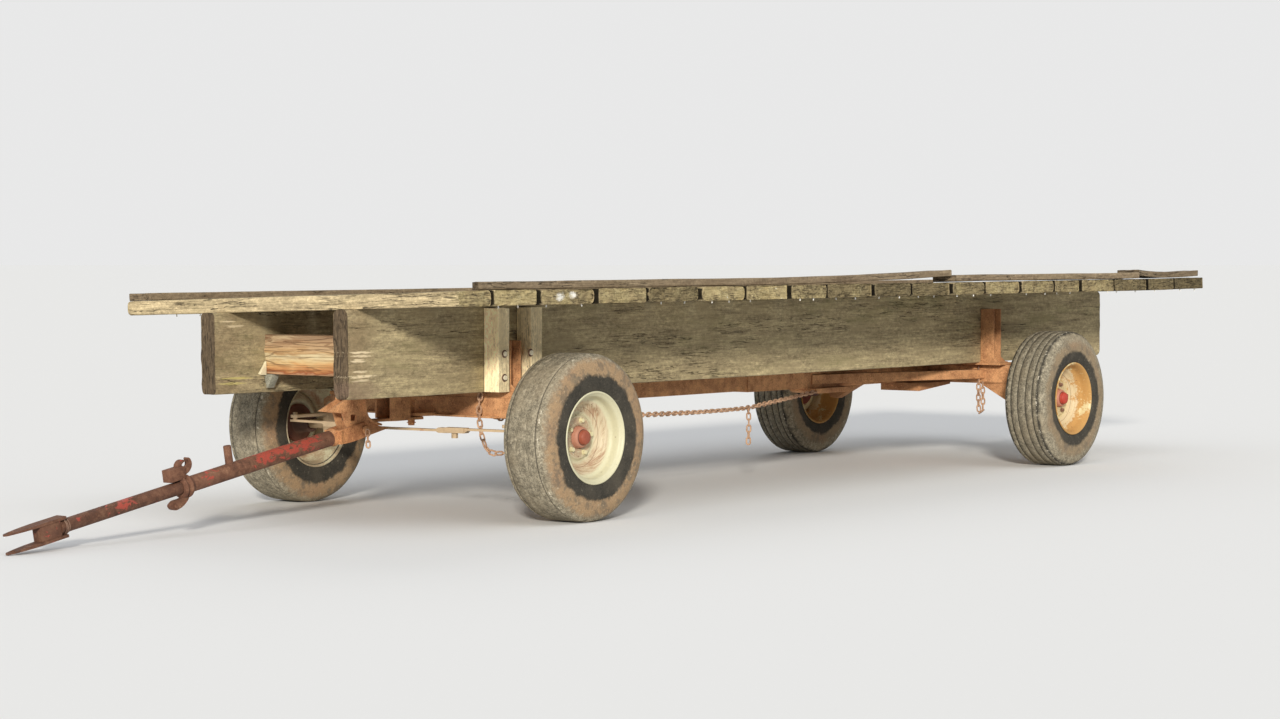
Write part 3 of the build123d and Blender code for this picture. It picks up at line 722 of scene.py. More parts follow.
def sawn(bm, start, along, across, size, seed, corner, wear, rag, step, bend=None, shut=(0, 0),
         fine=0.03, nose=0.0, fade=0.0):
    """Sawn board from the middle of one end. u runs along it, v across and w through it, all
    in metres. corner is the radius of its edges, wear how uneven its faces are, rag how ragged
    its ends, step and fine the distances between corners along and across. bend moves a point
    (u, v, w). shut marks the low and the high side, across, that stand close to another board,
    and gives them the attribute closed, which paints shade on them; nose rounds the corners off
    towards the ends, and fade darkens it."""
    length, wide, thick = size
    along, across = Vector(along), Vector(across)
    through = along.cross(across)
    rng = random.Random(seed)
    off = Vector([rng.uniform(0, 60) for _ in range(3)])
    tone = rng.uniform(-1, 1) - fade
    grain = layer(bm.verts.layers.float_vector, "grain")
    ends, tones, closed, front = (
        layer(bm.verts.layers.float, name) for name in ("end", "tone", "closed", "front"))
    cuts = max(2, round(wide / fine)), max(2, round(thick / 0.02))

    def corner_at(u, v, w, end):
        q = Vector((u, v, w)) + off
        rough = wave(q.x * 3, q.y * 30, q.z * 30) * wear
        v2 = v + v / wide * 2 * rough + wave(q.x * 1.3, off.y, 3.3) * wear
        w2 = w + w / thick * 2 * rough + wave(q.x * 1.1, off.z, 9.3) * wear
        u2 = u
        if end and rag:
            sign = -1 if u < length / 2 else 1
            bite = wave(q.y * 24, q.z * 60, off.x + sign)
            chunk = max(0.0, wave(q.y * 7, q.z * 4, off.y + sign * 5))
            u2 = u - sign * rag * (0.5 + bite + 1.6 * chunk)
        p = Vector((u2, v2, w2))
        if bend:
            p = bend(p)
        made = bm.verts.new(start + along * p.x + across * p.y + through * p.z)
        made[grain], made[tones], made[ends] = q, tone, float(end)
        # Painted shade: sides that stand close to another board are marked here, to be darkened.
        made[closed] = float(shut[v > 0] and abs(v) > wide * 0.48 and 0.01 < u < length - 0.01)
        made[front] = max(0.0, 1.0 - (length - u) / 0.4)
        return made

    n = max(2, round(length / step))
    near = [u for u in NEAR_END if u < length / 4]
    clear = near[-1] * 1.3
    inner = [length * k / n for k in range(1, n) if clear < length * k / n < length - clear]
    rings = []
    for u in near + inner + [length - u for u in reversed(near)]:
        wane = corner * (1.0 + 1.2 * max(0.0, wave(u * 2.3 + off.x, 5.5, off.y)))
        wane += nose * max(0.0, 1.0 - min(u, length - u) / 0.055) ** 2
        outline = section(wide, thick, min(wane, thick / 2.2), *cuts)
        rings.append([corner_at(u, v, w, u in (0.0, length)) for v, w in outline])
    for one, two in zip(rings, rings[1:]):
        for k in range(len(one)):
            bm.faces.new([one[k - 1], one[k], two[k], two[k - 1]])
    for ring, u in ((rings[0][::-1], 0.0), (rings[-1], length)):
        for share in (0.72, 0.4):
            points = section(wide * share, thick * share, min(corner + nose, thick / 2.2) * share, *cuts)
            inner = [corner_at(u, v, w, True) for v, w in (points[::-1] if u == 0.0 else points)]
            for k in range(len(ring)):
                bm.faces.new([ring[k - 1], ring[k], inner[k], inner[k - 1]])
            ring = inner
        bm.faces.new(ring)


# Deck plane, read from the planks' undersides
PLANK_SETS = {name: islands(f"deck_planks_{name}") for name in ("front", "rear")}
PLANKS = PLANK_SETS["front"] + PLANK_SETS["rear"]
LOW_RIGHT = min((p for p in PLANKS[0] if p.y < -0.9), key=lambda p: p.z)
LOW_LEFT = min((p for p in PLANKS[0] if p.y > 0.9), key=lambda p: p.z)
SLOPE = (LOW_LEFT.z - LOW_RIGHT.z) / (LOW_LEFT.y - LOW_RIGHT.y)
DECK = Matrix.Translation((0, 0, LOW_LEFT.z - LOW_LEFT.y * SLOPE)) @ Matrix.Rotation(atan2(SLOPE, 1), 4, "X")
DECK_BACK = DECK.inverted()
DECK_LEFT = DECK.to_3x3() @ Vector((0, 1, 0))
# A sawn board is thinner than its solid by this much, so that its uneven faces stay inside
SAW_GAP = 0.003


def on_deck(group):
    """Corners seen from the deck plane: x ahead, y to the left and z above it."""
    return [DECK_BACK @ p for p in group]


def make_planks():
    rng = random.Random(11)
    line_left = sum(span(on_deck(group))[1].y for group in PLANKS) / len(PLANKS) - 0.004
    for name, first_seed, first_number in (("front", 100, 0), ("rear", 150, 10)):
        bm = bmesh.new()
        for k, group in enumerate(PLANK_SETS[name]):
            flat = on_deck(group)
            low, high = span(flat)
            middle = (low.x + high.x) / 2
            # Its left end keeps a quarter of what its solid differs from the line
            left0, left1 = (
                line_left + (max(p.y for p in flat if (p.x > middle) == ahead) - line_left) * 0.25
                for ahead in (False, True))

            def skewed(p, wide=high.x - low.x, long0=left0 - low.y, long1=left1 - low.y):
                share = 0.5 + p.y / wide
                reach = long0 + (long1 - long0) * share
                return Vector((p.x * reach / max(long0, long1), p.y, p.z))

            start = DECK @ Vector((middle, low.y, (high.z - SAW_GAP) / 2))
            size = (max(left0, left1) - low.y, high.x - low.x - SAW_GAP, high.z - SAW_GAP)
            corner = rng.choice((0.003, 0.005, 0.008))
            nose = rng.choice((0.004, 0.010, 0.016))
            # Painted shade darkens the sides of each plank that face its neighbours.
            shut = (group is not PLANKS[-1], group is not PLANKS[0])
            sawn(bm, start, DECK_LEFT, (1, 0, 0), size, first_seed + k, corner, 0.0026, 0.010, 0.09, skewed,
                 shut, nose=nose, fade=0.05 * (k + first_number))
        piece(f"planks_{name}", bm, "chassis", "plank", [f"deck_planks_{name}"])


def make_edge_boards():
    thick = 0.036
    for side, first_seed in (("left", 320), ("right", 300)):
        bm = bmesh.new()
        for k, group in enumerate(islands(f"edge_boards_{side}")):
            flat = on_deck(group)
            low, high = span(flat)
            floor = low.z
            lift0 = min(p.z for p in flat if p.x < low.x + 0.01) - floor
            lift1 = min(p.z for p in flat if p.x > high.x - 0.01) - floor
            # The first board on the right lies flat, and the first on the left ends at a slant
            if side == "right" and k == 0:
                floor, lift0, lift1 = floor - 0.003, 0.0, 0.0
            slant = side == "left" and k == 0

            def warped(p, long=high.x - low.x, wide=high.y - low.y, lift0=lift0, lift1=lift1, slant=slant):
                share = 2 * p.x / long - 1
                lift = (lift1 if share > 0 else lift0) * share * share
                cut = (0.15 - 0.13 * p.y / wide) * max(0.0, 1.0 - (long - p.x) / 0.6) if slant else 0.0
                return Vector((p.x - cut, p.y, p.z + lift))

            start = DECK @ Vector((low.x, (low.y + high.y) / 2, floor + thick / 2))
            size = (high.x - low.x, high.y - low.y - 0.004, thick - SAW_GAP)
            sawn(bm, start, (1, 0, 0), DECK_LEFT, size, first_seed + k, 0.004, 0.0022, 0.008, 0.1, warped)
        piece(f"boards_{side}", bm, "chassis", "board", [f"edge_boards_{side}"])


def make_sills():
    """Sills whose front end is worn back at its foot and whose top follows the deck's slope."""
    for side, seed, nose in (("left", 501, 0.024), ("right", 502, 0.010)):
        low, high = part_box(f"sill_{side}")
        long, tall, thick = high.x - low.x, high.z - low.z, high.y - low.y

        def worn(p, long=long, tall=tall, low=low, middle=(low.y + high.y) / 2):
            drop = 0.5 - p.y / tall
            back = 0.007 * drop * max(0.0, 1.0 - (long - p.x) / 0.2)
            deck = (DECK @ Vector((0, middle - p.z, 0))).z + 0.001 - low.z - tall
            return Vector((p.x - back, p.y + deck * max(0.0, 0.5 - drop) * 2, p.z))

        bm = bmesh.new()
        start = Vector((low.x, (low.y + high.y) / 2, (low.z + high.z) / 2))
        size = (long, tall, thick - SAW_GAP)
        sawn(bm, start, (1, 0, 0), (0, 0, 1), size, seed, 0.004, 0.0012, 0.008, 0.1, worn, nose=nose)
        piece(f"sill_timber_{side}", bm, "chassis", f"sill_{side}", [f"sill_{side}"])


def make_blocks():
    for side in ("left", "right"):
        bm = bmesh.new()
        for k, group in enumerate(islands(f"stake_blocks_{side}")):
            low, high = span(group)
            start = Vector(((low.x + high.x) / 2, (low.y + high.y) / 2, low.z))
            size = (high.z - low.z, high.x - low.x - 0.002, high.y - low.y - 0.002)
            sawn(bm, start, (0, 0, 1), (1, 0, 0), size, 700 + k, 0.004, 0.0012, 0.002, 0.06)
        piece(f"block_timber_{side}", bm, "chassis", "block", [f"stake_blocks_{side}"])


def make_cross_timber():
    low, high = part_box("cross_timber")
    bm = bmesh.new()
    start = Vector(((low.x + high.x) / 2, low.y, (low.z + high.z) / 2))
    size = (high.y - low.y, high.z - low.z - 0.004, high.x - low.x - 0.004)

    def split(p):
        ridge = wave(p.x * 2.4, p.y * 26, 3.0) * 0.008 + wave(p.x * 7, p.y * 60, 5.0) * 0.0025
        face = p.z / size[2] * 2
        return Vector((p.x, p.y, p.z + ridge * abs(face) - 0.004 * face))

    sawn(bm, start, (0, 1, 0), (0, 0, 1), size, 811, 0.004, 0.003, 0.0, 0.02, split, fine=0.007)
    piece("cross_timber_split", bm, "chassis", "cross", ["cross_timber"])

    # Pale splinter standing off the far sill beside the timber's lower corner
    bm = bmesh.new()
    slab(bm, [at(x, -335, z) for x, z in (
        (744, 712), (750, 706), (762, 686), (788, 655), (782, 650), (744, 648))], LEFT, 12, 2)
    rounded(piece("fresh_splinter", bm, "chassis", "splinter"))


# Wheels

WHEELS = (
    ("front_left", "front", 1), ("front_right", "front", -1),
    ("rear_left", "rear", 1), ("rear_right", "rear", -1))
# Grooves round the tread: middle across the tyre, half the width, depth
GROOVES = {
    "front": [(y, 0.003, deep) for y, deep in (
        (-0.080, 0.004), (-0.027, 0.0008), (0.027, 0.0008), (0.080, 0.004))],
    "rear": [(y, 0.0032, 0.006) for y in (-0.066, -0.024, 0.024, 0.066)]}
# Sections as (distance from the wheel's middle plane, radius)
TYRE_WALL = (
    (0.096, 0.1915), (0.108, 0.196), (0.117, 0.206), (0.1245, 0.232), (0.128, 0.262), (0.1285, 0.290),
    (0.126, 0.318), (0.120, 0.340), (0.112, 0.357), (0.100, 0.3695), (0.086, 0.3745))
RIM_FLANGE = {"front": 0.209, "rear": 0.203}
RIM_DISH = (
    (0.046, 0.1525), (0.036, 0.148), (0.026, 0.136), (0.016, 0.121), (0.012, 0.110), (0.016, 0.101),
    (0.022, 0.096), (0.022, 0.088), (0.022, 0.052))
HUB = (
    (-0.086, 0.0235), (-0.086, 0.040), (-0.002, 0.045), (0.000, 0.090), (0.003, 0.092), (0.013, 0.092),
    (0.0155, 0.090), (0.0155, 0.052), (0.025, 0.0495), (0.037, 0.048), (0.044, 0.0455), (0.047, 0.041),
    (0.047, 0.0345), (0.049, 0.0330), (0.061, 0.0325), (0.068, 0.029), (0.072, 0.019), (0.073, 0.0),
    (0.055, 0.0), (0.051, 0.0235))
VALVE = (0, 0), (0, 5), (14, 5), (16, 4), (34, 4), (36, 3), (36, 0)


def tyre_outline(axle):
    """Section of the tyre from its outer bead round the tread to its inner bead and back."""
    tread = []
    for y, half, deep in reversed(GROOVES[axle]):
        crown = TYRE_R - 0.0006 - (y / 0.09) ** 2 * 0.0025
        tread += [(y + half + 0.001, crown), (y + half, crown - deep * 0.4), (y + half * 0.5, crown - deep),
                  (y - half * 0.5, crown - deep), (y - half, crown - deep * 0.4), (y - half - 0.001, crown)]
        land = y - half - 0.016
        tread.append((land, TYRE_R - 0.0005 - (land / 0.09) ** 2 * 0.0025))
    wall = arc(TYRE_WALL, 4)
    return wall + tread[:-1] + [(-y, r) for y, r in reversed(wall)] + [(-0.05, 0.1905), (0.05, 0.1905)]


def rim_outline(axle):
    """Section of the rim's barrel, from its outer flange to its inner one and back."""
    flange = RIM_FLANGE[axle]
    outer = arc([(0.1195, flange), (0.1225, flange - 0.003), (0.1215, flange - 0.008),
                 (0.115, flange - 0.013), (0.106, 0.1865), (0.092, 0.183), (0.072, 0.1805),
                 (0.061, 0.172), (0.054, 0.158), (0.048, 0.1525)], 3)
    return outer + [
        (0.030, 0.1515), (-0.012, 0.1515), (-0.022, 0.168), (-0.030, 0.179), (-0.09, 0.1835),
        (-0.106, flange - 0.013), (-0.1195, flange - 0.008), (-0.1225, flange - 0.003), (-0.1195, flange),
        (-0.1135, flange - 0.006), (-0.100, 0.1895), (-0.030, 0.1855), (-0.018, 0.173), (-0.008, 0.1565),
        (0.044, 0.1565), (0.050, 0.163), (0.056, 0.176), (0.066, 0.1845), (0.1, 0.1895),
        (0.1135, flange - 0.006)]


def worn_tread(y, r, a):
    """Shallow waves in the tread, which never pass the tyre's radius."""
    if r < TYRE_R - 0.05:
        return y, r
    return y, min(r + wave(cos(a) * 4, sin(a) * 4, y * 20) * 0.0009, TYRE_R)


def make_wheels():
    dish = arc(RIM_DISH, 3)
    dish_plate = dish + [(y - 0.006, r) for y, r in reversed(dish)]
    for name, axle, side in WHEELS:
        low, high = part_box(f"tyre_{name}")
        centre = (low + high) / 2
        centre.z = TYRE_R
        body = f"wheel_{name}"
        for part, node, finish, slot, around, sections, shape in (
                ("tyre_rubber", "tyre", "tyre", "tyre", 128, [tyre_outline(axle)], worn_tread),
                ("rim_steel", "rim", "rim", "rim_paint", 96, [rim_outline(axle), dish_plate], None),
                ("hub_casting", "hub", "hub", "hub_paint", 48, [HUB], None)):
            bm = bmesh.new()
            for outline in sections:
                turned(bm, outline, centre, side, around, shape)
            bmesh.ops.recalc_face_normals(bm, faces=bm.faces)
            piece(f"{part}_{name}", bm, body, f"{finish}_{axle}", [f"{node}_{name}"], smooth=True)

        bm = bmesh.new()
        foot = centre + Vector((0.118, side * 0.018, 0.075))
        ringed(bm, foot, (0, side, 0), VALVE, 10, across=(0, 0, 1))
        rounded(piece(f"valve_{name}", bm, body, "wire"))


# Steel

def at(x, y, z):
    """Place given in millimetres from the front axle's middle on the ground."""
    return Vector((AX + x / 1000, y / 1000, z / 1000))


# The rear axle's place along X, in the same millimetres
REAR_X = (REAR_AXLE.x - AX) * 1000


def on_tongue(x, y, z):
    """Place given in millimetres along the tongue from its hinge, to the left, and above."""
    return HINGE + (TONGUE_DIR * x + LEFT * y + TONGUE_UP * z) / 1000


# Steel that is worn as it is in the frame: node, body, finish, radius of its edges
SOFT_STEEL = (
    ("front_axle", "chassis", "steel", 3.0), ("rear_axle", "chassis", "steel", 3.0),
    ("king_pins", "chassis", "steel", 2.0), ("bolsters", "chassis", "steel", 2.0),
    ("stakes", "chassis", "steel", 2.0), ("hounds", "chassis", "steel", 4.0),
    ("reach_clamps", "chassis", "steel", 3.0), ("reach_sleeve", "chassis", "steel", 4.0),
    ("reach_tube", "chassis", "reach_steel_shaded", 4.0), ("steering_bracket", "steering", "steel", 2.0),
    ("knuckle_left", "knuckle_left", "cream_steel", 2.0),
    ("knuckle_right", "knuckle_right", "cream_steel", 2.0),
    ("tie_rod_left", "tie_rod_left", "cream_steel", 1.2),
    ("tie_rod_right", "tie_rod_right", "cream_steel", 1.2))


def eased(bm, edges, radius):
    """Rounds edges off, by a radius in millimetres."""
    bmesh.ops.bevel(bm, geom=edges, offset=radius / 1000, segments=2, profile=0.6, affect="EDGES",
                    clamp_overlap=True)


def soften_steel():
    """Plates and castings as they are in the frame, with their edges worn round."""
    for node, body, finish, radius in SOFT_STEEL:
        bm = merged_copy(node)
        bmesh.ops.dissolve_limit(bm, angle_limit=radians(1.0), verts=bm.verts, edges=bm.edges)
        sharp = [e for e in bm.edges if len(e.link_faces) == 2 and e.calc_face_angle() > radians(34)]
        eased(bm, sharp, radius)
        bmesh.ops.triangulate(bm, faces=[f for f in bm.faces if len(f.verts) > 4])
        obj = piece(f"{node}_worn", bm, body, finish, [node], smooth=True)
        obj.data.set_sharp_from_angle(angle=radians(40))


def ringed(bm, start, along, outline, around, across=None, closed=False):
    """Surface turned about a line. outline lists millimetres along it and radius."""
    along = Vector(along).normalized()
    u = Vector(across or LEFT)
    u = (u - along * u.dot(along)).normalized()
    v = along.cross(u)
    rings = []
    for x, r in outline:
        middle = start + along * (x / 1000)
        n = around if r > 1e-6 else 1
        rings.append([bm.verts.new(middle + (u * cos(2 * pi * k / n) + v * sin(2 * pi * k / n)) * (r / 1000))
                      for k in range(n)])
    skinned(bm, rings, around, closed)


def slab(bm, corners, thick_way, thick, radius):
    """Plate from an outline of places, thick both ways about it, with its edges rounded."""
    half = Vector(thick_way).normalized() * thick / 2000
    low = [bm.verts.new(p - half) for p in corners]
    high = [bm.verts.new(p + half) for p in corners]
    faces = [bm.faces.new(low[::-1]), bm.faces.new(high)]
    faces += [bm.faces.new([low[k - 1], low[k], high[k], high[k - 1]]) for k in range(len(corners))]
    eased(bm, list({e for f in faces for e in f.edges}), radius)


def arc(points, steps):
    """Smooth outline through pairs of numbers, as a list of pairs."""
    return [tuple(p) for p in smoothed(points, steps)]


def rounded(obj):
    """Smooth shading up to 38 degrees between faces, with the faces turned outwards."""
    bm = bmesh.new()
    bm.from_mesh(obj.data)
    bmesh.ops.recalc_face_normals(bm, faces=bm.faces)
    bm.to_mesh(obj.data)
    bm.free()
    obj.data.polygons.foreach_set("use_smooth", [True] * len(obj.data.polygons))
    obj.data.set_sharp_from_angle(angle=radians(38))


# Outlines on the tongue, in millimetres. A plate's points are (ahead of the hinge, above or to
# the left), a turned piece's are (along its own line, radius)
OUTER_TUBE = (157, 29.6), (157, 35.0), (300, 34.6), (640, 35.0), (1041, 34.8), (1045, 34.4), (1045, 29.8)
STUB_POST = (0, 21), (5, 19), (9, 17.6), (80, 17.4), (84, 16), (84, 11), (60, 11)
FORK_BLOCK = (131, -48), (157, -48), (157, 48), (131, 48)
FORK_EAR = (
    (152, 31), (110, 33.5), (70, 34), (0, 33), (-20, 27), (-31, 12), (-32, -8), (-24, -26), (0, -33),
    (70, -35.5), (110, -34), (152, -31))
WELD_COLLAR = (156, 35), (156, 39), (159, 41), (164, 40.5), (169, 38), (174, 36.5), (180, 35.2), (180, 34)
FORK_PIN = (
    (0, 0), (0, 11.5), (1.5, 13), (112, 13), (112, 18), (114, 19.5), (120, 19.5), (122.5, 17), (122.5, 0))
LATCH_MOUTH = (
    (0, 29.7), (0, 39), (4, 42), (12, 45), (17, 50.5), (23, 51.5), (28, 48), (31, 40), (38, 39.5), (43, 46),
    (49, 48.5), (55, 46), (60, 37), (60, 31))
LATCH_BOX = (1076, -25), (1166, -25), (1166, 25), (1076, 25)
LATCH_CATCH = (
    (1108, 84), (1106, 98), (1094, 111), (1076, 116), (1064, 112), (1066, 105), (1079, 101), (1084, 92),
    (1084, 84))
LATCH_HOOK = (
    (1066, 50), (1046, 58), (1030, 72), (1024, 92), (1030, 110), (1040, 118), (1046, 112), (1040, 100),
    (1042, 86), (1054, 76), (1074, 72))
LATCH_EAR = (
    (1070, -36), (1092, -40), (1120, -44), (1150, -44), (1172, -52), (1178, -66), (1166, -80), (1142, -85),
    (1108, -78), (1080, -62), (1066, -48))
LATCH_BOLT = (0, 0), (0, 9), (8, 9), (8, 6), (44, 6), (44, 9), (52, 8), (52, 0)
SLIDE_TUBE = (480, 0), (480, 27), (482, 29), (1300, 28.8), (1768, 29), (1772, 31.5), (1780, 33), (1780, 0)
CLEVIS_BLOCK = (1781, -32.5), (1889, -32.5), (1889, 32.5), (1781, 32.5)
CLEVIS_STRAP = (
    (1751, -29), (1935, -29), (2030, -17), (2050, -10), (2056, 0), (2050, 10), (2030, 17), (1935, 29),
    (1751, 29))


def make_tongue():
    # Outer tube with the stub post
    hinge = on_tongue(0, 0, 0)
    bm = bmesh.new()
    ringed(bm, hinge, TONGUE_DIR, OUTER_TUBE, 40, closed=True)
    ringed(bm, on_tongue(800, 0, 28), TONGUE_UP, STUB_POST, 24)
    rounded(piece("tongue_tube", bm, "tongue", "tongue", ["tongue_outer"]))

    # Fork of rusted plate with its block, and the collar of weld where the tube meets it
    bm = bmesh.new()
    slab(bm, [on_tongue(x, y, 0) for x, y in FORK_BLOCK], TONGUE_UP, 64, 3)
    for side in (1, -1):
        slab(bm, [on_tongue(x, side * 42, z) for x, z in arc(FORK_EAR, 3)], LEFT, 12, 1.5)
    ringed(bm, hinge, TONGUE_DIR, WELD_COLLAR, 40, closed=True)
    rounded(piece("tongue_fork", bm, "tongue", "collar"))

    # Headed pin through the fork
    bm = bmesh.new()
    ringed(bm, on_tongue(0, -61, 0), LEFT, FORK_PIN, 24, across=TONGUE_UP)
    rounded(piece("fork_pin", bm, "tongue", "steel", ["tongue_pin"]))

    # Latch: mouth with two flared rims, box, crescent hook, curved ear with its bolt
    bm = bmesh.new()
    ringed(bm, on_tongue(1045, 0, 0), TONGUE_DIR, LATCH_MOUTH, 40, closed=True)
    slab(bm, [on_tongue(x, y, 63) for x, y in LATCH_BOX], TONGUE_UP, 54, 4)
    for hook in (LATCH_CATCH, LATCH_HOOK):
        slab(bm, [on_tongue(x, 0, z) for x, z in arc(hook, 3)], LEFT, 26, 4)
    slab(bm, [on_tongue(x, 4, z) for x, z in arc(LATCH_EAR, 3)], LEFT, 22, 5)
    ringed(bm, on_tongue(1156, -22, -66), LEFT, LATCH_BOLT, 12, across=TONGUE_UP)
    rounded(piece("latch_casting", bm, "tongue", "tongue", ["tongue_latch"]))

    # Sliding inner tube, with wire wound round its end
    bm = bmesh.new()
    ringed(bm, hinge, TONGUE_DIR, SLIDE_TUBE, 36)
    rounded(piece("slide_tube", bm, "tongue_slide", "inner_tube", ["tongue_inner"]))
    bm = bmesh.new()
    for x, lean in ((1741, 0.05), (1750, -0.08), (1757, 0.03)):
        turns = [(x + 2.6 * cos(a), 31.2 + 2.6 * sin(a)) for a in (2 * pi * k / 6 for k in range(6))]
        ringed(bm, hinge, TONGUE_DIR + TONGUE_UP * lean * 0.02, turns, 28, closed=True)
    rounded(piece("end_wire", bm, "tongue_slide", "wire"))

    # Clevis block and its two straps, bored for the hitch pin
    bm = bmesh.new()
    slab(bm, [on_tongue(x, 0, z) for x, z in CLEVIS_BLOCK], LEFT, 53, 4)
    for sign in (1, -1):
        plate_with_bore(bm, arc(CLEVIS_STRAP, 3), (2025, 0), 13.6, sign * 38, 12)
    rounded(piece("clevis_straps", bm, "tongue_slide", "inner_tube", ["tongue_clevis"]))


def plate_with_bore(bm, outline, bore, radius, height, thick):
    """Plate lying across the tongue with a round hole through it, thinner towards its tip."""
    angles = [2 * pi * k / 24 for k in range(24)]
    hole = [(bore[0] + radius * cos(a), bore[1] + radius * sin(a)) for a in angles]

    def corner(x, y, half):
        thin = 1.0 - 0.45 * max(0.0, min(1.0, (x - 1890) / 165))
        return bm.verts.new(on_tongue(x, y, height + half * thin))

    low, high = ([[corner(x, y, half) for x, y in loop] for loop in (outline, hole)]
                 for half in (-thick / 2, thick / 2))
    for side in (low, high):
        bmesh.ops.triangle_fill(bm, use_beauty=True, edges=[
            bm.edges.new((loop[k - 1], loop[k])) for loop in side for k in range(len(loop))])
    for under, over in zip(low, high):
        for k in range(len(under)):
            bm.faces.new([under[k - 1], under[k], over[k], over[k - 1]])


# Repeats and path followers, as Geometry Nodes

class Repeats(Graph):
    """Geometry node tree with named inputs. Its result becomes a plain mesh."""

    def __init__(self, name, **inputs):
        super().__init__(bpy.data.node_groups.new(name, "GeometryNodeTree"))
        face = self.tree.interface
        face.new_socket("Geometry", in_out="OUTPUT", socket_type="NodeSocketGeometry")
        face.new_socket("Geometry", in_out="INPUT", socket_type="NodeSocketGeometry")
        self.keys = {}
        for key, value in inputs.items():
            kind = "NodeSocketMaterial" if key == "Finish" else (
                "NodeSocketInt" if isinstance(value, int) else "NodeSocketFloat")
            made = face.new_socket(key, in_out="INPUT", socket_type=kind)
            if value is not None:
                made.default_value = value
            self.keys[key] = made.identifier
        self.given = self.node("NodeGroupInput").outputs
        self.result = self.node("NodeGroupOutput")

    def value(self, name):
        return Term(self, self.given[name])

    def end(self, geometry):
        real = self.node("GeometryNodeRealizeInstances", None, {0: geometry})
        dressed = self.node("GeometryNodeSetMaterial", None, {
            "Geometry": real.outputs[0], "Material": self.given["Finish"]})
        self.tree.links.new(dressed.outputs[0], self.result.inputs[0])

    def grown(self, name, source, body, slot, finish, replaces=(), **values):
        """Runs the tree on an object and keeps what it makes as a finished piece."""
        bpy.context.scene.collection.objects.link(source)
        modifier = source.modifiers.new("repeats", "NODES")
        modifier.node_group = self.tree
        modifier[self.keys["Finish"]] = FINISH[finish]
        for key, value in values.items():
            modifier[self.keys[key]] = value
        seen = source.evaluated_get(bpy.context.evaluated_depsgraph_get())
        mesh = bpy.data.meshes.new_from_object(seen)
        bpy.data.objects.remove(source)
        settle(name, mesh, body, finish, replaces, True)
        mesh.set_sharp_from_angle(angle=radians(50))


def path_object(name, *runs):
    """Curve object with one polyline for each run of places."""
    curve = bpy.data.curves.new(name, "CURVE")
    curve.dimensions = "3D"
    for run in runs:
        line = curve.splines.new("POLY")
        line.points.add(len(run) - 1)
        for point, place in zip(line.points, run):
            point.co = (*place, 1.0)
    return bpy.data.objects.new(name, curve)


def spot_object(name, spots):
    """Loose points with the attributes facing and size. Each spot is (place, facing, mm)."""
    mesh = bpy.data.meshes.new(name)
    mesh.from_pydata([p for p, _, _ in spots], [], [])
    mesh.attributes.new("facing", "FLOAT_VECTOR", "POINT").data.foreach_set(
        "vector", [c for _, facing, _ in spots for c in Vector(facing).normalized()])
    mesh.attributes.new("size", "FLOAT", "POINT").data.foreach_set(
        "value", [size / 1000 for _, _, size in spots])
    return bpy.data.objects.new(name, mesh)


def link_tree():
    """Chain links along a path, every second one turned a quarter."""
    t = Repeats("chain_links", Pitch=0.030, Length=0.046, Width=0.028, Wire=0.0042, Finish=None)
    wide = t.value("Width") - t.value("Wire") * 2.0
    oval = t.node("GeometryNodeCurvePrimitiveQuadrilateral", {"mode": "RECTANGLE"}, {
        "Width": t.value("Length") - t.value("Wire") * 2.0, "Height": wide})
    round_oval = t.node("GeometryNodeFilletCurve", {"mode": "POLY"}, {
        "Curve": oval.outputs[0], "Count": 3, "Radius": wide * 0.49})
    ring = t.node("GeometryNodeCurvePrimitiveCircle", None, {"Resolution": 6, "Radius": t.value("Wire")})
    one = t.node("GeometryNodeCurveToMesh", None, {
        "Curve": round_oval.outputs[0], "Profile Curve": ring.outputs[0]})
    points = t.node("GeometryNodeCurveToPoints", {"mode": "LENGTH"}, {
        "Curve": t.given["Geometry"], "Length": t.value("Pitch")})
    index = Term(t, t.node("GeometryNodeInputIndex").outputs[0])
    swing = t.node("FunctionNodeRandomValue", {"data_type": "FLOAT"}, {2: -0.16, 3: 0.16, "Seed": 7})
    roll = ((index % 2.0) - 0.5) * (pi / 2) + Term(t, swing.outputs[1])
    turn = t.node("ShaderNodeCombineXYZ", None, {"X": roll})
    ahead = t.node("FunctionNodeAlignRotationToVector", {"axis": "X"}, {"Vector": points.outputs["Tangent"]})
    spun = t.node("FunctionNodeRotateRotation", {"rotation_space": "LOCAL"}, {
        "Rotation": ahead.outputs[0], "Rotate By": turn.outputs[0]})
    placed = t.node("GeometryNodeInstanceOnPoints", None, {
        "Points": points.outputs["Points"], "Instance": one.outputs[0], "Rotation": spun.outputs[0]})
    t.end(placed.outputs[0])
    return t


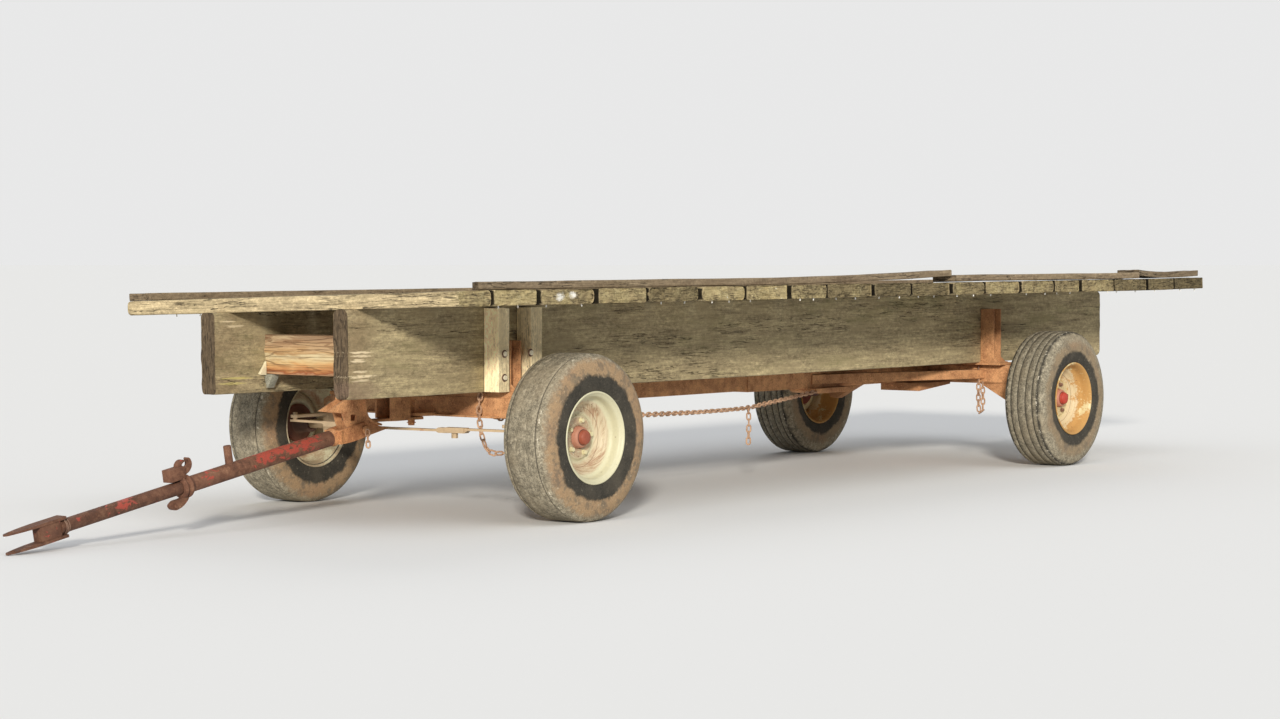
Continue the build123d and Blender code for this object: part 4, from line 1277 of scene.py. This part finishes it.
def head_tree():
    """Bolt heads, nuts or nail tips on spots, each looking along its facing."""
    t = Repeats("bolt_heads", Sides=6, Height=0.7, Washer=1.35, Finish=None)
    size = t.node("GeometryNodeInputNamedAttribute", {"data_type": "FLOAT"}, {"Name": "size"}).outputs[0]
    facing = t.node("GeometryNodeInputNamedAttribute", {"data_type": "FLOAT_VECTOR"}, {
        "Name": "facing"}).outputs[0]
    height = t.value("Height")
    head = t.node("GeometryNodeMeshCylinder", None, {
        "Vertices": t.given["Sides"], "Radius": 1.0, "Depth": height})
    lift = t.node("ShaderNodeCombineXYZ", None, {"Z": height * 0.5 + 0.12})
    lifted = t.node("GeometryNodeTransform", None, {
        "Geometry": head.outputs[0], "Translation": lift.outputs[0]})
    washer = t.node("GeometryNodeMeshCylinder", None, {
        "Vertices": 12, "Radius": t.value("Washer"), "Depth": 0.24})
    both = t.node("GeometryNodeJoinGeometry")
    t.tree.links.new(lifted.outputs[0], both.inputs[0])
    t.tree.links.new(washer.outputs[0], both.inputs[0])
    up = t.node("FunctionNodeAlignRotationToVector", {"axis": "Z"}, {"Vector": facing})
    spin = t.node("FunctionNodeRandomValue", {"data_type": "FLOAT"}, {2: 0.0, 3: pi, "Seed": 3})
    turn = t.node("ShaderNodeCombineXYZ", None, {"Z": Term(t, spin.outputs[1])})
    spun = t.node("FunctionNodeRotateRotation", {"rotation_space": "LOCAL"}, {
        "Rotation": up.outputs[0], "Rotate By": turn.outputs[0]})
    placed = t.node("GeometryNodeInstanceOnPoints", None, {
        "Points": t.given["Geometry"], "Instance": both.outputs[0], "Rotation": spun.outputs[0],
        "Scale": Term(t, size)})
    t.end(placed.outputs[0])
    return t


def bead_tree():
    """Weld beads along paths, with the ripples that the rod leaves. Without ripple, bent wire."""
    t = Repeats("weld_beads", Radius=0.0045, Step=0.0035, Ripple=1.0, Finish=None)
    line = t.node("GeometryNodeResampleCurve", {"mode": "LENGTH"}, {
        "Curve": t.given["Geometry"], "Length": t.value("Step")})
    index = Term(t, t.node("GeometryNodeInputIndex").outputs[0])
    lump = t.node("FunctionNodeRandomValue", {"data_type": "FLOAT"}, {2: -0.25, 3: 0.25, "Seed": 5})
    swell = (Term(t, lump.outputs[1]) + (index % 2.0) * 0.25 - 0.1) * t.value("Ripple") + 1.0
    ring = t.node("GeometryNodeCurvePrimitiveCircle", None, {"Resolution": 6, "Radius": t.value("Radius")})
    made = t.node("GeometryNodeCurveToMesh", None, {
        "Curve": line.outputs[0], "Profile Curve": ring.outputs[0], "Scale": swell, "Fill Caps": True})
    t.end(made.outputs[0])
    return t


# Chains and the wires that hold them, as places in millimetres for at()
FRONT_LOOP = (
    (84, 372, 548), (86, 366, 500), (88, 370, 440), (96, 392, 370), (100, 420, 318), (96, 446, 297),
    (82, 472, 292), (40, 500, 300), (-10, 502, 345), (-50, 486, 410), (-60, 482, 440))
REACH_RUN = (
    (-66, 340, 440), (-330, 334, 428), (-600, 325, 418), (-900, 314, 409), (-1200, 300, 402),
    (-1500, 276, 395), (-1800, 244, 389), (-2215, 195, 387), (-2400, 172, 397), (-2600, 146, 410),
    (-2998, 98, 438))
LOOSE_TAIL = (-2256, 190, 374), (-2259, 191, 310), (-2257, 190, 214)
REAR_LOOP = [(REAR_X + 74, y, z) for y, z in (
    (402, 460), (401, 390), (402, 330), (406, 296), (416, 286), (427, 296), (431, 330), (429, 440))]
HOOK_WIRES = (
    [(22, 372, 557), (52, 372, 567), (80, 372, 562), (86, 372, 540)],
    [(REAR_X + 74, 402, 452), (REAR_X + 74, 401, 520), (REAR_X + 62, 400, 558), (REAR_X + 20, 400, 562)],
    [(-2256, 190, 399), (-2248, 190, 391), (-2250, 190, 375), (-2262, 190, 371), (-2266, 190, 382)])


def hang(points, steps):
    """Places along a chain or a wire that passes through the given ones."""
    return smoothed([at(*p) for p in points], steps)


def make_chains():
    links = link_tree()
    pin_end = HINGE + Vector((0.0, 0.066, -0.012))
    loose = path_object("pin_link_path", [pin_end + Vector((0.0, 0.002 * k, -0.026 * k)) for k in range(3)])
    links.grown("pin_links", loose, "tongue", "chain_rust", "chain", Pitch=0.026, Length=0.040, Width=0.026)
    runs = [hang(points, 24) for points in (FRONT_LOOP, REACH_RUN, LOOSE_TAIL, REAR_LOOP)]
    links.grown("chain_links_all", path_object("chain_paths", *runs), "chassis", "chain_rust", "chain",
                ["chain_front", "chain_reach", "chain_rear"])


def make_welds():
    """Beads round the stakes' feet, and the wires that hold the chains."""
    beads = bead_tree()
    runs = []
    for group in islands("stakes"):
        low, high = span(group)
        feet = ((low.x, low.y), (high.x, low.y), (high.x, high.y), (low.x, high.y), (low.x, low.y))
        runs.append([Vector((x, y, low.z + 0.002)) for x, y in feet])
    beads.grown("stake_welds", path_object("stake_weld_paths", *runs), "chassis", "rusty_steel", "steel",
                Radius=0.0055, Step=0.005)
    hooks = path_object("chain_hook_paths", *(hang(wire, 4) for wire in HOOK_WIRES))
    beads.grown("chain_hooks", hooks, "chassis", "rusty_steel", "wire",
                Radius=0.0042, Step=0.006, Ripple=0.0)


def make_bracket():
    """Grey plate under the cross timber's end, tapered to a point."""
    low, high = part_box("cross_timber_angle")
    wide, tall, middle = high.y - low.y, high.z - low.z, (low.x + high.x) / 2
    corners = [
        (low.y, high.z), (low.y, high.z - 0.30 * tall), (low.y + 0.22 * wide, low.z),
        (low.y + 0.36 * wide, low.z), (high.y, high.z - 0.12 * tall), (high.y, high.z)]
    bm = bmesh.new()
    slab(bm, [Vector((middle, y, z)) for y, z in corners], (1, 0, 0), (high.x - low.x) * 1000 - 1, 1.5)
    rounded(piece("timber_bracket", bm, "chassis", "grey_steel", ["cross_timber_angle"]))


# Bolts in the blocks beside the front stakes and in the stakes, as (x, z) in millimetres
BLOCK_BOLTS = (88, 744), (88, 636), (-96, 744), (-96, 640)
STAKE_BOLTS = [(x, z) for x in (-20, REAR_X + 62) for z in (640, 720)]
LUG_CIRCLE = 0.076


def make_fasteners():
    heads = head_tree()
    up = Vector((0, 0, 1))
    bolts = []
    for side in (1, -1):
        for places, out, size in ((BLOCK_BOLTS, 520.5, 11.5), (STAKE_BOLTS, 438.6, 10)):
            bolts += [(at(x, side * out, z), LEFT * side, size) for x, z in places]
    heads.grown("block_bolt_stains", spot_object("block_bolt_stains", bolts), "chassis", "rusty_steel",
                "wire", Sides=12, Height=0.10, Washer=1.55)
    heads.grown("block_bolts", spot_object("block_bolts", bolts), "chassis", "rusty_steel", "bolt",
                Sides=12, Height=0.5, Washer=0.8)

    nuts = []
    for x, y in ((0, 600), (0, -600), (140, 0)):
        nuts += [(at(x, y, 564), up, 15), (at(x, y, 418), -up, 15)]
    for x in (REAR_X + 120, REAR_X + 480, REAR_X + 900, REAR_X + 1180):
        nuts += [(at(x, 42.5, 494), LEFT, 9), (at(x, -42.5, 494), -LEFT, 9)]
    heads.grown("gear_nuts", spot_object("gear_nuts", nuts), "chassis", "rusty_steel", "steel",
                Sides=6, Height=0.75, Washer=1.4)

    for name, axle, side in WHEELS:
        low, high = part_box(f"tyre_{name}")
        middle = (low + high) / 2
        lugs = []
        for a in (2 * pi * k / 5 + 0.5 for k in range(5)):
            x, z = middle.x + LUG_CIRCLE * cos(a), TYRE_R + LUG_CIRCLE * sin(a)
            lugs.append((Vector((x, middle.y + side * 0.0235, z)), LEFT * side, 10))
        heads.grown(f"lug_nuts_{name}", spot_object(f"lugs_{name}", lugs), f"wheel_{name}", "hub_paint",
                    f"lug_{axle}", Sides=6, Height=1.3, Washer=1.25)

    nails = []
    rng = random.Random(5)
    for group in PLANKS:
        low, high = span(on_deck(group))
        for side, edge in ((1, high.y), (-1, low.y)):
            for share in (0.25, 0.75):
                if rng.random() < 0.15 or group is PLANKS[0]:
                    continue
                x = low.x + (high.x - low.x) * (share + rng.uniform(-0.08, 0.08))
                lean = Vector((rng.uniform(-0.2, 0.2), rng.uniform(-0.2, 0.2), -1))
                nails.append((DECK @ Vector((x, edge - side * rng.uniform(0.022, 0.034), 0.0)), lean, 3.2))
    heads.grown("nail_tips", spot_object("nail_tips", nails), "chassis", "rusty_steel", "nail",
                Sides=5, Height=3.4, Washer=0.5)


# Studio

# Each sun: name, where it shines from, its spread in degrees, strength and colour
SUNS = (
    ("key", (0.78, 0.57, 0.30), 6.0, 3.35, (1.0, 0.955, 0.87)),
    ("sky", (0.15, 0.45, 1.0), 50.0, 0.65, (0.94, 0.97, 1.0)),
    ("back", (-0.75, -0.45, 0.5), 30.0, 0.6, (1.0, 1.0, 1.0)))
FLOOR_COLOUR = (0.82, 0.815, 0.805)
BACKDROP = (0.81, 0.81, 0.81, 1.0)
SKY_COLOUR, SKY_STRENGTH = (0.93, 0.96, 1.0, 1.0), 0.43
FLOOR_HALF = 400.0


def make_studio():
    floor = bpy.data.meshes.new("floor")
    corners = [(x * FLOOR_HALF, y * FLOOR_HALF, 0) for x, y in ((-1, -1), (1, -1), (1, 1), (-1, 1))]
    floor.from_pydata(corners, [], [(0, 1, 2, 3)])
    obj = bpy.data.objects.new("floor", floor)
    bpy.context.scene.collection.objects.link(obj)
    pale = Finish("studio_floor", 1.0, specular=0.0)
    pale.colour(FLOOR_COLOUR)
    floor.materials.append(pale.material)

    world = bpy.data.worlds.new("studio")
    bpy.context.scene.world = world
    world.use_nodes = True
    g = Graph(world.node_tree)
    g.tree.nodes.clear()
    path = g.node("ShaderNodeLightPath")
    seen = Term(g, path.outputs["Is Camera Ray"]).most(Term(g, path.outputs["Is Glossy Ray"]))
    seen = seen.most(Term(g, path.outputs["Is Transmission Ray"]))
    light = g.node("ShaderNodeBackground", None, {"Color": SKY_COLOUR, "Strength": SKY_STRENGTH})
    back = g.node("ShaderNodeBackground", None, {"Color": BACKDROP})
    mix = g.node("ShaderNodeMixShader", None, {0: seen, 1: light.outputs[0], 2: back.outputs[0]})
    out = g.node("ShaderNodeOutputWorld")
    g.tree.links.new(mix.outputs[0], out.inputs["Surface"])

    for name, source, spread, strength, colour in SUNS:
        lamp = bpy.data.lights.new(name, "SUN")
        lamp.angle, lamp.energy, lamp.color = radians(spread), strength, colour
        obj = bpy.data.objects.new(name, lamp)
        obj.rotation_euler = Vector(source).to_track_quat("Z", "Y").to_euler()
        bpy.context.scene.collection.objects.link(obj)


def make_camera():
    data = bpy.data.cameras.new("camera")
    data.sensor_width = SENSOR
    data.lens = LENS_PX * SENSOR / FRAME_W
    data.clip_end = 200
    obj = bpy.data.objects.new("camera", data)
    yaw, pitch = radians(YAW), radians(PITCH)
    look = Vector((cos(yaw) * cos(pitch), sin(yaw) * cos(pitch), sin(pitch)))
    obj.location = EYE
    obj.rotation_euler = look.to_track_quat("-Z", "Y").to_euler()
    bpy.context.scene.collection.objects.link(obj)
    bpy.context.scene.camera = obj


make_camera()
make_studio()
soften_steel()
make_tongue()
make_planks()
make_edge_boards()
make_sills()
make_blocks()
make_cross_timber()
make_wheels()
make_chains()
make_welds()
make_bracket()
make_fasteners()

bpy.context.scene.view_settings.view_transform = "Standard"
